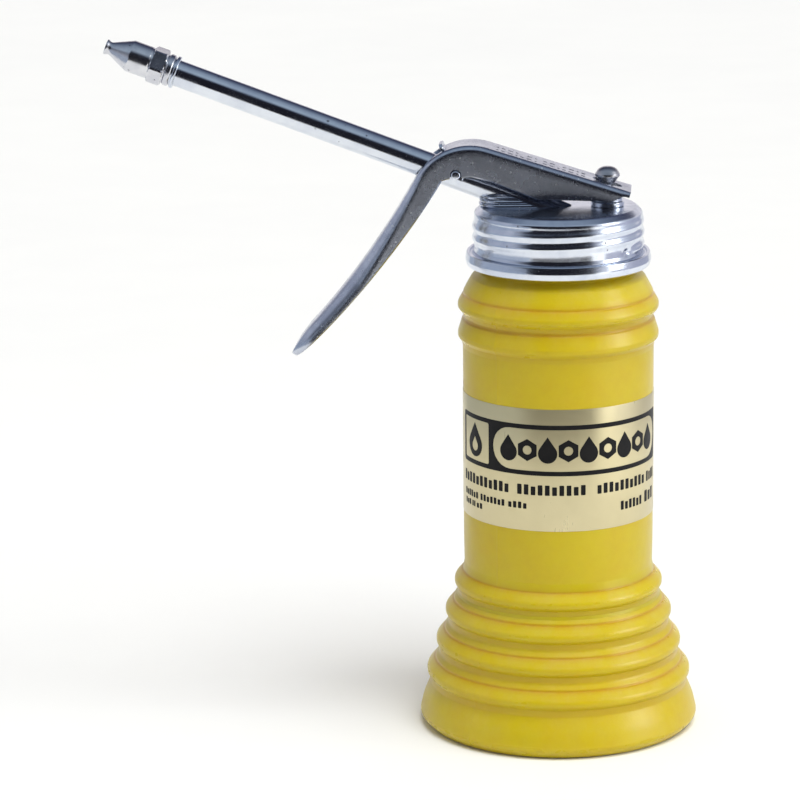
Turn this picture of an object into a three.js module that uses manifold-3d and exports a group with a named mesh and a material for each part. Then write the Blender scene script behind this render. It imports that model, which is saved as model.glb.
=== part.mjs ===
// A pump oiler: a ribbed plastic bottle with a screw cap that carries a straight spout, a squeeze trigger and a
// lift pump. Millimetres, +Z up. The origin is the middle of the bottle's flat base, and the spout points to -X.
import * as THREE from "three";
import { mergeVertices } from "three/addons/utils/BufferGeometryUtils.js";
import Module from "manifold-3d";

const wasm = await Module();
wasm.setup();

// ---------------------------------------------------------------- driving dimensions
const GAP = 0.3; // between pieces that touch
const ROUND = 32; // sides of the bottle and the cap
const FINE = 20; // sides of the small turned pieces

const BOTTLE = {
  bodyRadius: 22.95,
  bodyTop: 93.8,
  baseRadius: 33.9,
  baseCorner: 2.4,
  wall: 1.3,
  floor: 1.6,
  ringCount: 4, // beads of the stepped foot
  ringRadius: 31.95, // lowest bead
  ringHeight: 13.4, // height of the lowest bead's crest
  ringPitch: 7.47,
  beadHeight: 3.2,
  beadDepth: 0.6,
  waistDepth: 2.75, // from a bead's crest in to the waist above it
  collarPitch: 6.9, // the two beads under the shoulder
  collarSwell: 1.2,
  shoulderRise: 6.1,
  neckRadius: 18.3,
  neckHeight: 12.3,
};
const LABEL = { low: 53.5, high: 83.2, thickness: 0.2 };
const GASKET = { thickness: 1.6, width: 1.5 };
const CAP = {
  sheet: 0.9,
  threadRoom: 0.85, // from the neck out to the inside of the skirt
  height: 14.3,
  rimSwell: 1.8, // how far the rolled rim stands out beyond the skirt
  rimHeight: 3.6,
  beadPitch: 2.8,
  beadSwell: 0.35,
  shoulderRound: 2.6,
};
const SPOUT = {
  radius: 3.175,
  wall: 0.9,
  slope: 20.3, // degrees above the horizontal
  entryX: -5.3, // where its axis meets the cap's top face
  length: 99.2, // from that point to the end that holds the nozzle
  tail: 8, // the part below the cap's top face, along the axis
};
const NOZZLE = {
  lip: 1.15,
  lipRadius: 1.85,
  neckRadius: 1.45,
  cone: 5.1,
  barrel: 5.2,
  swell: 0.675, // beyond the tube's outside
  hex: 3.6,
  hexSwell: 0.15, // from the barrel out to the middle of a flat
  collar: 1.8,
  socketDepth: 7,
  bore: 0.8,
};
const FERRULE = { length: 0.9, swell: 0.775 };
const SADDLE = { left: -18.9, width: 11, height: 3.2 };
const PIVOT = { along: 20.4, above: 1.1, pinRadius: 1.1, bracketWall: 1.225, bracketLength: 4, pinEnd: 0.5 };
const LEVER = {
  sideRoom: 0.4, // from the bracket to the inside of a flange
  sheet: 1.2,
  turn: 12, // degrees of squeeze
  armSlope: 17.1,
  armBeyond: 5.65, // from the plunger's axis to the end of the arm
  crownRadius: 14.6,
  crownX: 3.35, // the crown arc's centre, from the pivot
  crownZ: -7.6,
  gripSlope: 61,
  gripReach: 38.6, // the grip's end, from the pivot
  gripDrop: 40.4,
  gripHandle: { length: 14, slope: 45 }, // how the grip's web leaves the tip
  heelHandle: 17, // how long it keeps the grip's slope under the crown
  tipLength: 5,
  tipBlunt: 1.2,
  hookX: 3.3, // where the rear edge meets the notch
  hookHandle: { length: 16, slope: 60 },
  tipHandle: { length: 14, slope: 38 },
  notchClearance: 0.3,
  slotClearance: 0.45,
  tabFrom: 4.2, // from the pivot, along the spout
  tabLength: 3.2,
  tabThickness: 0.8,
  flangeRise: 0.4, // how far the flange edge lies under the pivot's centre
  flangeDrop: 5.75, // the lowest stretch of the flange, under the pivot's centre
  flangeKinks: { crest: 3.8, fall: 8.6, low: 19.2 }, // along X from the pivot
  flangeEnd: { rise: 7.5, corner: 5.3, sag: 0.95 }, // back from the end of the arm
};
const ROD = {
  radius: 1.5,
  tailRadius: 1.2,
  headOverhang: 0.95, // beyond the side of the lever's slot
  headHeight: 3.7,
  slotLength: 7,
  slotRoom: 0.5, // beside the rod in the lever's slot
};
const GLAND = { wall: 1.1, height: 2.3, bossWall: 1.4, topWall: 0.9 };
const PACKING = { thickness: 1.5, clearance: 0.25, bossRim: 0.6, outerRoom: 0.2 };
const BARREL = { bore: 3.8, wall: 0.8, length: 42, gasket: 0.6 };
const BLOCK = { floor: 0.36, radius: 4.9, neckRoom: 0.4, spigot: 4, springRoom: 1.1, passage: 1.3, guide: 2.3 };
const PISTON = { clearance: 0.15, cup: 3.2, cupWall: 0.8, washer: 1, nut: 2, nutFlats: 4.6 };
const SPRING = { wire: 0.35, turns: 7, length: 21 };
const FOOT = { plug: 6, flange: 2.5, nipple: 6.5, port: 1, chamber: 2.3, ballRadius: 1.7, retainer: 0.8 };
const PICKUP = { radius: 3, bore: 2.2, floorGap: 3.9 };
const STRAINER = { wall: 0.7, height: 7, slot: 1.2 };

// ---------------------------------------------------------------- levels worked out from them
const rad = THREE.MathUtils.degToRad;
const SHOULDER_TOP = BOTTLE.bodyTop + 2 * BOTTLE.collarPitch - 1.3 + BOTTLE.shoulderRise;
const NECK_TOP = SHOULDER_TOP + BOTTLE.neckHeight;
const GASKET_LOW = NECK_TOP + GAP;
const CAP_UNDER = GASKET_LOW + GASKET.thickness + GAP;
const CAP_TOP = CAP_UNDER + CAP.sheet;
const CAP_INNER = BOTTLE.neckRadius + CAP.threadRoom;
const CAP_SKIRT = CAP_INNER + CAP.beadSwell + CAP.sheet;
const TUBE_HOLE = SPOUT.radius + GAP;
const SLOPE = rad(SPOUT.slope);
const BLOCK_TOP = CAP_UNDER - GAP;
const BLOCK_LOW = CAP_TOP - (SPOUT.tail + GAP) * Math.sin(SLOPE) - TUBE_HOLE * Math.cos(SLOPE) - BLOCK.floor;
const BARREL_TOP = BLOCK_LOW - 2 * GAP - BARREL.gasket;
const BARREL_LOW = BARREL_TOP - BARREL.length;
const BARREL_RADIUS = BARREL.bore + BARREL.wall;
const SPIGOT_LOW = BLOCK_LOW - BLOCK.spigot;
const SPRING_HIGH = SPIGOT_LOW - GAP;
const SPRING_LOW = SPRING_HIGH - SPRING.length;
const WASHER_LOW = SPRING_LOW - GAP - PISTON.washer;
const CUP_LOW = WASHER_LOW - GAP - PISTON.cup;
const NUT_LOW = CUP_LOW - GAP - PISTON.nut;
const SEAT_Z = BARREL_LOW + 1;
const PLUG_TOP = BARREL_LOW + FOOT.plug;
const NOZZLE_RADIUS = SPOUT.radius + NOZZLE.swell;
const BRACKET_RADIUS = SPOUT.radius + PIVOT.bracketWall;
const LEVER_WIDTH = 2 * (BRACKET_RADIUS + LEVER.sideRoom + LEVER.sheet);
const ROD_X = BOTTLE.neckRadius - BOTTLE.wall - BLOCK.neckRoom - BLOCK.radius;
const ROD_SLOT = 2 * (ROD.radius + ROD.slotRoom);
const HEAD_RADIUS = ROD_SLOT / 2 + ROD.headOverhang;
const BOSS_RADIUS = ROD.radius + GLAND.bossWall;
const GLAND_RADIUS = BOSS_RADIUS + GLAND.wall;
const CHAMBER = ROD.radius + BLOCK.springRoom;

// ---------------------------------------------------------------- solids
/** A closed three.js geometry as a manifold-3d solid, with its faces turned outwards. */
function solid(geometry) {
  const bare = new THREE.BufferGeometry().setAttribute("position", geometry.getAttribute("position"));
  bare.setIndex(geometry.index);
  const merged = mergeVertices(bare, 1e-4);
  const kept = [];
  const index = merged.index.array;
  for (let i = 0; i < index.length; i += 3) {
    const [a, b, c] = [index[i], index[i + 1], index[i + 2]];
    if (a !== b && b !== c && c !== a) kept.push(a, b, c);
  }
  const make = (triVerts) =>
    new wasm.Manifold(
      new wasm.Mesh({
        numProp: 3,
        vertProperties: new Float32Array(merged.attributes.position.array),
        triVerts: new Uint32Array(triVerts),
      }),
    );
  const made = make(kept);
  if (made.volume() >= 0) return made;
  for (let i = 0; i < kept.length; i += 3) [kept[i + 1], kept[i + 2]] = [kept[i + 2], kept[i + 1]];
  return make(kept);
}

/** A profile of [radius, height] points turned about the Z axis. */
function turned(profile, sides = FINE) {
  const points = profile.map(([r, z]) => new THREE.Vector2(r, z));
  return solid(new THREE.LatheGeometry(points, sides).rotateX(Math.PI / 2));
}

/** A tube or ring from one height to another; an inner radius of 0 gives a rod. */
function ring(inner, outer, low, high, sides = FINE) {
  if (!inner) return turned([[0, low], [outer, low], [outer, high], [0, high]], sides);
  return turned([[inner, low], [outer, low], [outer, high], [inner, high], [inner, low]], sides);
}

/** An outline in the XZ plane, given a width along Y about the middle. */
function sideways(shape, width) {
  const geometry = new THREE.ExtrudeGeometry(shape, { depth: width, bevelEnabled: false, curveSegments: 10 });
  return solid(geometry.translate(0, 0, -width / 2).rotateX(Math.PI / 2));
}

/** An outline in the XY plane, raised from one height to another. */
function upright(shape, low, high) {
  const geometry = new THREE.ExtrudeGeometry(shape, { depth: high - low, bevelEnabled: false, curveSegments: 8 });
  return solid(geometry.translate(0, 0, low));
}

/** A box between two corners. */
function block(low, high) {
  const [x, y, z] = low.map((v, i) => high[i] - v);
  const middle = low.map((v, i) => (v + high[i]) / 2);
  return solid(new THREE.BoxGeometry(x, y, z).translate(...middle));
}

/** A regular polygon's outline in the XY plane, by its width across flats. */
function polygon(sides, acrossFlats) {
  const radius = acrossFlats / 2 / Math.cos(Math.PI / sides);
  const corners = Array.from({ length: sides }, (_, i) => {
    const angle = (2 * Math.PI * i) / sides;
    return new THREE.Vector2(radius * Math.cos(angle), radius * Math.sin(angle));
  });
  return new THREE.Shape(corners);
}

/** A slot's outline in the XY plane: a rectangle with round ends, along X. */
function slotOutline(length, width, x = 0) {
  const half = (length - width) / 2;
  const shape = new THREE.Shape();
  shape.absarc(x + half, 0, width / 2, -Math.PI / 2, Math.PI / 2, false);
  shape.absarc(x - half, 0, width / 2, Math.PI / 2, (3 * Math.PI) / 2, false);
  shape.closePath();
  return shape;
}

/** A solid moved by a group's own place, so that it can cut a piece outside the group. */
function placed(made, group) {
  group.updateMatrix();
  return made.transform(group.matrix.elements);
}

/** The same solid seen from inside a group. */
function seenFrom(made, group) {
  group.updateMatrix();
  return made.transform(group.matrix.clone().invert().elements);
}

/** A named mesh of a solid. */
function piece(name, made, material) {
  const { vertProperties, triVerts } = made.getMesh();
  const geometry = new THREE.BufferGeometry();
  geometry.setAttribute("position", new THREE.BufferAttribute(new Float32Array(vertProperties), 3));
  geometry.setIndex(new THREE.BufferAttribute(new Uint32Array(triVerts), 1));
  geometry.computeVertexNormals();
  const mesh = new THREE.Mesh(geometry, material);
  mesh.name = name;
  return mesh;
}

// ---------------------------------------------------------------- materials
const finish = (color, roughness, metalness) => new THREE.MeshStandardMaterial({ color, roughness, metalness });
const YELLOW_PLASTIC = finish(0xe3be16, 0.45, 0);
const GOLD_FOIL = finish(0xd9c58f, 0.35, 0.8);
const PLATED_STEEL = finish(0xb9c4d2, 0.22, 1);
const BRASS = finish(0xc8a552, 0.35, 1);
const BLACK_RUBBER = finish(0x1c1c1c, 0.8, 0);
const LEATHER = finish(0x6b4426, 0.85, 0);
const SPRING_STEEL = finish(0x8d9299, 0.3, 1);
const CLEAR_PLASTIC = finish(0xdad7c8, 0.5, 0);

// ---------------------------------------------------------------- frames that the pieces are placed in
const oiler = new THREE.Group();
const pump = new THREE.Group();
pump.position.set(ROD_X, 0, 0);
const spout = new THREE.Group(); // its +Z runs along the spout, towards the nozzle
spout.position.set(SPOUT.entryX, 0, CAP_TOP);
spout.rotation.y = SLOPE - Math.PI / 2;
const pivotPoint = new THREE.Vector3(
  SPOUT.entryX - PIVOT.along * Math.cos(SLOPE) + PIVOT.above * Math.sin(SLOPE),
  0,
  CAP_TOP + PIVOT.along * Math.sin(SLOPE) + PIVOT.above * Math.cos(SLOPE),
);
const rodReach = ROD_X - pivotPoint.x; // from the pivot to the plunger's axis
const armEnd = rodReach + LEVER.armBeyond;
const trigger = new THREE.Group(); // its origin is the pivot
trigger.position.copy(pivotPoint);
oiler.add(pump, spout, trigger);

// ---------------------------------------------------------------- bottle
/** The bottle's outside, from the base's rim up to the neck, as [radius, height] points. */
function bottleSide() {
  const side = [];
  for (let i = 0; i <= 3; i++) {
    const angle = (-Math.PI / 2) * (1 - i / 3);
    side.push([
      BOTTLE.baseRadius - BOTTLE.baseCorner * (1 - Math.cos(angle)),
      BOTTLE.baseCorner * (1 + Math.sin(angle)),
    ]);
  }
  const firstBead = BOTTLE.ringHeight - BOTTLE.beadHeight / 2;
  side.push([
    BOTTLE.ringRadius - BOTTLE.beadDepth + 0.35 * (BOTTLE.baseRadius - BOTTLE.ringRadius),
    (BOTTLE.baseCorner + firstBead) / 2,
  ]);
  const fall = BOTTLE.ringRadius - BOTTLE.bodyRadius - BOTTLE.waistDepth + BOTTLE.beadDepth;
  const ringStep = fall / (BOTTLE.ringCount - 1);
  for (let i = 0; i < BOTTLE.ringCount; i++) {
    const crest = BOTTLE.ringRadius - i * ringStep;
    const z = BOTTLE.ringHeight + i * BOTTLE.ringPitch;
    side.push(
      [crest - BOTTLE.beadDepth, z - BOTTLE.beadHeight / 2],
      [crest, z - BOTTLE.beadHeight / 6],
      [crest, z + BOTTLE.beadHeight / 6],
      [crest - BOTTLE.beadDepth, z + BOTTLE.beadHeight / 2],
    );
    const waist = Math.max(crest - BOTTLE.waistDepth, BOTTLE.bodyRadius);
    side.push([waist, z + BOTTLE.ringPitch - BOTTLE.beadHeight / 2 - 0.7]);
  }
  const recess = BOTTLE.bodyRadius - LABEL.thickness - GAP;
  side.push(
    [BOTTLE.bodyRadius, LABEL.low - GAP],
    [recess, LABEL.low - GAP],
    [recess, LABEL.high + GAP],
    [BOTTLE.bodyRadius, LABEL.high + GAP],
    [BOTTLE.bodyRadius, BOTTLE.bodyTop],
  );
  for (let i = 0; i < 2; i++) {
    const crest = BOTTLE.bodyTop + (i + 0.45) * BOTTLE.collarPitch;
    const swell = BOTTLE.bodyRadius + BOTTLE.collarSwell;
    side.push([swell, crest - 0.6], [swell, crest + 0.6]);
    if (!i) side.push([BOTTLE.bodyRadius - 0.15, BOTTLE.bodyTop + 0.92 * BOTTLE.collarPitch]);
  }
  for (let i = 0; i <= 4; i++) {
    const angle = (Math.PI / 2) * (i / 4);
    side.push([
      BOTTLE.neckRadius + (BOTTLE.bodyRadius - BOTTLE.neckRadius) * Math.cos(angle),
      SHOULDER_TOP - BOTTLE.shoulderRise * (1 - Math.sin(angle)),
    ]);
  }
  return side;
}

/** The bottle's inside, from the neck's mouth down to the floor. It runs straight past the beads. */
function bottleInside() {
  const { wall, neckRadius, bodyRadius, shoulderRise, floor } = BOTTLE;
  const half = Math.SQRT1_2;
  const body = bodyRadius - LABEL.thickness - GAP - wall;
  return [
    [neckRadius - wall, NECK_TOP],
    [neckRadius - wall, SHOULDER_TOP - 1.5 * wall],
    [
      neckRadius + (bodyRadius - neckRadius) * half - half * wall,
      SHOULDER_TOP - shoulderRise * (1 - half) - half * wall,
    ],
    [body, SHOULDER_TOP - shoulderRise],
    [body, BOTTLE.ringHeight + BOTTLE.ringCount * BOTTLE.ringPitch],
    [BOTTLE.ringRadius - BOTTLE.beadDepth - 1.4 * wall, BOTTLE.ringHeight],
    [BOTTLE.baseRadius - wall - BOTTLE.baseCorner / 2, floor],
    [0, floor],
  ];
}

function makeBottle() {
  const outside = [[0, 0], ...bottleSide(), [BOTTLE.neckRadius, NECK_TOP]];
  return piece("bottle", turned([...outside, ...bottleInside()], ROUND), YELLOW_PLASTIC);
}

function makeLabel() {
  const outer = BOTTLE.bodyRadius;
  return piece("label_band", ring(outer - LABEL.thickness, outer, LABEL.low, LABEL.high, ROUND), GOLD_FOIL);
}

// ---------------------------------------------------------------- cap
/** The pump block's boss and the gland share this hole in the cap. */
const bossHole = () => placed(ring(0, BOSS_RADIUS + GAP, CAP_UNDER - 1, CAP_TOP + 1), pump);
const spoutHole = () => placed(ring(0, TUBE_HOLE, -SPOUT.tail - 1, SPOUT.length, 24), spout);

function makeCap() {
  const low = CAP_TOP - CAP.height;
  const skirt = CAP_SKIRT;
  const profile = [
    [0, CAP_UNDER],
    [CAP_INNER - 0.6, CAP_UNDER],
    [CAP_INNER, CAP_UNDER - 0.8],
    [CAP_INNER, low + CAP.rimHeight],
  ];
  const half = (skirt + CAP.rimSwell - CAP_INNER) / 2;
  for (let i = 0; i <= 6; i++) {
    const angle = Math.PI + (Math.PI * 1.25 * i) / 6;
    profile.push([
      CAP_INNER + half + half * Math.cos(angle),
      low + (CAP.rimHeight / 2) * (1 + Math.sin(angle)),
    ]);
  }
  profile.push([skirt, low + CAP.rimHeight + 0.3]);
  const beadLow = low + CAP.rimHeight + 1.6;
  for (let i = 0; i < 3; i++) {
    const z = beadLow + i * CAP.beadPitch;
    profile.push([skirt - CAP.beadSwell, z], [skirt, z + CAP.beadPitch / 2]);
  }
  for (let i = 0; i <= 3; i++) {
    const angle = (Math.PI / 2) * (i / 3);
    profile.push([
      skirt - CAP.shoulderRound * (1 - Math.cos(angle)),
      CAP_TOP - (CAP.shoulderRound / 2) * (1 - Math.sin(angle)),
    ]);
  }
  profile.push([0, CAP_TOP]);
  return piece("cap_shell", turned(profile, ROUND).subtract(spoutHole()).subtract(bossHole()), PLATED_STEEL);
}

function makeGasket() {
  const outer = BOTTLE.neckRadius;
  const made = ring(outer - GASKET.width, outer, GASKET_LOW, GASKET_LOW + GASKET.thickness, ROUND);
  return piece("cap_gasket", made, BLACK_RUBBER);
}

// ---------------------------------------------------------------- spout
function makeSpoutTube() {
  return piece("spout_tube", ring(SPOUT.radius - SPOUT.wall, SPOUT.radius, -SPOUT.tail, SPOUT.length, 24), PLATED_STEEL);
}

function makeFerrule() {
  const high = SPOUT.length - NOZZLE.socketDepth - GAP;
  const made = ring(TUBE_HOLE, SPOUT.radius + FERRULE.swell, high - FERRULE.length, high, 24);
  return piece("spout_ferrule", made, PLATED_STEEL);
}

function makeNozzle() {
  const low = SPOUT.length - NOZZLE.socketDepth;
  const hexLow = low + NOZZLE.collar;
  const hexHigh = hexLow + NOZZLE.hex;
  const coneLow = hexHigh + NOZZLE.barrel;
  const lipLow = coneLow + NOZZLE.cone;
  const socketTop = SPOUT.length + GAP;
  const body = turned([
    [TUBE_HOLE, low],
    [NOZZLE_RADIUS, low],
    [NOZZLE_RADIUS, coneLow],
    [NOZZLE.neckRadius, lipLow],
    [NOZZLE.lipRadius, lipLow + 0.25],
    [NOZZLE.lipRadius, lipLow + NOZZLE.lip],
    [NOZZLE.bore, lipLow + NOZZLE.lip],
    [NOZZLE.bore, socketTop + 2],
    [SPOUT.radius - SPOUT.wall, socketTop],
    [TUBE_HOLE, socketTop],
    [TUBE_HOLE, low],
  ], 24);
  const hexagon = upright(polygon(6, 2 * (NOZZLE_RADIUS + NOZZLE.hexSwell)), hexLow, hexHigh);
  const hexRing = hexagon.subtract(ring(0, NOZZLE_RADIUS - 0.3, hexLow - 1, hexHigh + 1, 24));
  return piece("nozzle_tip", body.add(hexRing), PLATED_STEEL);
}

/** The cradle that carries the spout's underside where it leaves the cap. */
function makeSaddle() {
  const low = CAP_TOP + GAP;
  const high = low + SADDLE.height;
  const run = SADDLE.height / Math.tan(SLOPE);
  const shape = new THREE.Shape([
    new THREE.Vector2(SADDLE.left, low),
    new THREE.Vector2(SADDLE.left + run, low),
    new THREE.Vector2(SADDLE.left, high),
  ]);
  return piece("spout_saddle", sideways(shape, SADDLE.width).subtract(spoutHole()), PLATED_STEEL);
}

/** The bracket on top of the spout whose two pins carry the trigger. */
function makeBracket() {
  const half = PIVOT.bracketLength / 2;
  const sleeve = ring(0, BRACKET_RADIUS, PIVOT.along - half, PIVOT.along + half);
  const reach = 2 * BRACKET_RADIUS;
  const lowerHalf = block([-reach, -reach, 0], [-GAP, reach, SPOUT.length]);
  const pinLength = LEVER_WIDTH + 2 * PIVOT.pinEnd;
  const pin = solid(new THREE.CylinderGeometry(PIVOT.pinRadius, PIVOT.pinRadius, pinLength, 16)
    .translate(PIVOT.above, 0, PIVOT.along));
  const hole = ring(0, TUBE_HOLE, 0, SPOUT.length, 24);
  return piece("pivot_bracket", sleeve.subtract(lowerHalf).add(pin).subtract(hole), PLATED_STEEL);
}

// ---------------------------------------------------------------- trigger lever
const armTop = (x) => {
  const angle = rad(90 - LEVER.armSlope);
  const tangentX = LEVER.crownX + LEVER.crownRadius * Math.cos(angle);
  const tangentZ = LEVER.crownZ + LEVER.crownRadius * Math.sin(angle);
  return tangentZ - (x - tangentX) * Math.tan(rad(LEVER.armSlope));
};

/** A point at a distance and an angle in degrees from another. */
const from = (point, distance, degrees) =>
  new THREE.Vector2(point.x + distance * Math.cos(rad(degrees)), point.y + distance * Math.sin(rad(degrees)));

/** The web's outside from the grip's end over the crown to the end of the arm. */
function webCurve() {
  const centre = new THREE.Vector2(LEVER.crownX, LEVER.crownZ);
  const crownLeft = from(centre, LEVER.crownRadius, 90 + LEVER.gripSlope);
  const gripEnd = new THREE.Vector2(-LEVER.gripReach, -LEVER.gripDrop);
  const grip = new THREE.CubicBezierCurve(
    gripEnd,
    from(gripEnd, LEVER.gripHandle.length, LEVER.gripHandle.slope),
    from(crownLeft, -LEVER.heelHandle, LEVER.gripSlope),
    crownLeft,
  );
  const crown = new THREE.EllipseCurve(
    LEVER.crownX, LEVER.crownZ, LEVER.crownRadius, LEVER.crownRadius,
    rad(90 + LEVER.gripSlope), rad(90 - LEVER.armSlope), true,
  );
  return [...grip.getPoints(14), ...crown.getPoints(12).slice(1), new THREE.Vector2(armEnd, armTop(armEnd))];
}

/** The same curve moved inwards by a distance. */
function offsetCurve(points, distance) {
  return points.map((point, i) => {
    const before = points[Math.max(i - 1, 0)];
    const after = points[Math.min(i + 1, points.length - 1)];
    const along = after.clone().sub(before).normalize();
    return new THREE.Vector2(point.x + along.y * distance, point.y - along.x * distance);
  });
}

/** The whole channel seen from the side: the web outside, the tip, then the flanges' free edge. */
function leverOutline() {
  const web = webCurve();
  const tip = new THREE.Vector2(-LEVER.gripReach - 1, -LEVER.gripDrop - LEVER.tipLength);
  const hook = new THREE.Vector2(-LEVER.hookX, -PIVOT.pinRadius - LEVER.notchClearance);
  const { hookHandle, tipHandle, flangeKinks, flangeEnd } = LEVER;
  const rear = new THREE.CubicBezierCurve(
    hook,
    from(hook, -hookHandle.length, hookHandle.slope),
    from(tip, tipHandle.length, tipHandle.slope),
    tip,
  );
  const edge = [
    new THREE.Vector2(armEnd - flangeEnd.corner, -LEVER.flangeDrop - flangeEnd.sag),
    new THREE.Vector2(armEnd - flangeEnd.rise, -LEVER.flangeDrop - flangeEnd.sag / 3),
    new THREE.Vector2(flangeKinks.low, -LEVER.flangeDrop),
    new THREE.Vector2(flangeKinks.fall, -LEVER.flangeRise - LEVER.sheet),
    new THREE.Vector2(flangeKinks.crest, -LEVER.flangeRise),
    new THREE.Vector2(PIVOT.pinRadius, -LEVER.flangeRise),
    new THREE.Vector2(-PIVOT.pinRadius - LEVER.notchClearance, hook.y),
  ];
  const bluntTip = [tip, new THREE.Vector2(tip.x - LEVER.tipBlunt / 2, tip.y + LEVER.tipBlunt)];
  return new THREE.Shape([...web, ...edge, ...rear.getPoints(12).slice(0, -1), ...bluntTip]);
}

/** The room between the flanges, under the web. */
function leverHollow() {
  const inner = offsetCurve(webCurve(), LEVER.sheet);
  const last = inner[inner.length - 1];
  const beyond = armEnd + 10;
  const under = -LEVER.gripDrop - 20;
  const arm = new THREE.Vector2(beyond, last.y - (beyond - last.x) * Math.tan(rad(LEVER.armSlope)));
  return new THREE.Shape([...inner, arm, new THREE.Vector2(beyond, under), new THREE.Vector2(inner[0].x, under)]);
}

/** The way that the spout needs through the web, over the whole squeeze, from the pivot. */
function spoutWay(clearance) {
  const reach = 60;
  const turn = rad(LEVER.turn);
  const over = SPOUT.radius - PIVOT.above + clearance;
  const under = -SPOUT.radius - PIVOT.above - clearance;
  const along = [
    [-reach, under],
    [reach, under],
    [reach * Math.cos(turn) - over * Math.sin(turn), reach * Math.sin(turn) + over * Math.cos(turn)],
    [0, over],
    [-reach, over],
  ];
  return new THREE.Shape(along.map(([t, d]) => new THREE.Vector2(
    -t * Math.cos(SLOPE) + d * Math.sin(SLOPE),
    t * Math.sin(SLOPE) + d * Math.cos(SLOPE),
  )));
}

/** The strip of the web that is bent out over the spout. */
function leverTab() {
  const over = SPOUT.radius - PIVOT.above + LEVER.slotClearance;
  const angle = 180 - SPOUT.slope - LEVER.turn;
  const start = from(from(new THREE.Vector2(0, 0), over, angle - 90), LEVER.tabFrom, angle);
  const end = from(start, LEVER.tabLength, angle);
  const lift = (point) => from(point, LEVER.tabThickness, angle - 90);
  return sideways(new THREE.Shape([start, lift(start), lift(end), end]), 2 * SPOUT.radius);
}

/** A slab whose lower end is round, as wide as the lever: it rounds the tip of the grip. */
function roundTip() {
  const low = -LEVER.gripDrop - LEVER.tipLength;
  const height = 2 * (LEVER.crownRadius - low);
  const outline = slotOutline(height, LEVER_WIDTH).getPoints(10);
  const slab = new THREE.ExtrudeGeometry(new THREE.Shape(outline), { depth: 200, bevelEnabled: false });
  return solid(slab.translate(height / 2, 0, -100).rotateY(-Math.PI / 2).translate(0, 0, low));
}

function makeLever() {
  const slotWidth = 2 * (SPOUT.radius + LEVER.slotClearance);
  const notch = new THREE.Shape();
  const notchRadius = PIVOT.pinRadius + LEVER.notchClearance;
  notch.moveTo(notchRadius, -5);
  notch.lineTo(notchRadius, 0);
  notch.absarc(0, 0, notchRadius, 0, Math.PI, false);
  notch.lineTo(-notchRadius, -5);
  const made = sideways(leverOutline(), LEVER_WIDTH)
    .subtract(sideways(leverHollow(), LEVER_WIDTH - 2 * LEVER.sheet))
    .subtract(sideways(spoutWay(LEVER.slotClearance), slotWidth))
    .subtract(sideways(notch, LEVER_WIDTH + 2))
    .subtract(upright(slotOutline(ROD.slotLength, ROD_SLOT, rodReach), -30, 30))
    .intersect(roundTip())
    .add(leverTab());
  return piece("trigger_lever", made, PLATED_STEEL);
}

// ---------------------------------------------------------------- pump, about the plunger's axis
function makePumpBlock() {
  const boss = BLOCK_TOP + GAP + CAP.sheet + GLAND.height - GLAND.topWall - 2 * GAP;
  const socket = seenFrom(placed(ring(0, BLOCK.radius, -SPOUT.tail - 6, -1), spout), pump);
  const above = block([-60, -30, BLOCK_TOP], [60, 30, BLOCK_TOP + 30]);
  const under = block([-60, -30, BLOCK_LOW - 30], [60, 30, BLOCK_LOW]);
  const beyond = block([0, -30, BLOCK_LOW - 5], [30, 30, BLOCK_TOP + 5]);
  const tube = seenFrom(placed(ring(0, TUBE_HOLE, -SPOUT.tail - GAP, SPOUT.length, 24), spout), pump);
  const passage = seenFrom(placed(ring(0, BLOCK.passage, -SPOUT.tail - 5, 0), spout), pump);
  const solidPart = ring(0, BLOCK.radius, BLOCK_LOW, BLOCK_TOP)
    .add(socket.subtract(above).subtract(under).subtract(beyond))
    .add(ring(0, BARREL.bore - GAP, SPIGOT_LOW, BLOCK_LOW + 1))
    .add(ring(0, BOSS_RADIUS, BLOCK_TOP - 1, boss));
  const rodHole = ROD.radius + PISTON.clearance;
  const packingHole = BOSS_RADIUS - PACKING.bossRim;
  const made = solidPart
    .subtract(tube)
    .subtract(passage)
    .subtract(ring(0, CHAMBER, SPIGOT_LOW - 1, BLOCK_TOP - BLOCK.guide))
    .subtract(ring(0, rodHole, SPIGOT_LOW, boss + 1))
    .subtract(ring(0, packingHole, boss - PACKING.thickness - GAP, boss + 1));
  return piece("pump_block", made, BRASS);
}

function makeGland() {
  const boss = CAP_TOP + GLAND.height - GLAND.topWall - 2 * GAP;
  const low = CAP_TOP + GAP;
  const nut = turned([
    [BOSS_RADIUS + GAP, low],
    [GLAND_RADIUS, low],
    [GLAND_RADIUS, low + GLAND.height - GAP - 0.5],
    [GLAND_RADIUS - 0.5, low + GLAND.height - GAP],
    [ROD.radius + GAP, low + GLAND.height - GAP],
    [ROD.radius + GAP, boss + GAP],
    [BOSS_RADIUS + GAP, boss + GAP],
    [BOSS_RADIUS + GAP, low],
  ]);
  const packing = ring(
    ROD.radius + PACKING.clearance,
    BOSS_RADIUS - PACKING.bossRim - PACKING.outerRoom,
    boss - PACKING.thickness,
    boss,
  );
  return [piece("gland_nut", nut, PLATED_STEEL), piece("gland_packing", packing, BLACK_RUBBER)];
}

function makeBarrel() {
  const gasketLow = BARREL_TOP + GAP;
  return [
    piece("pump_barrel", ring(BARREL.bore, BARREL_RADIUS, BARREL_LOW, BARREL_TOP, 24), BRASS),
    piece("barrel_gasket", ring(BARREL.bore, BARREL_RADIUS, gasketLow, gasketLow + BARREL.gasket), BLACK_RUBBER),
  ];
}

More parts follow.
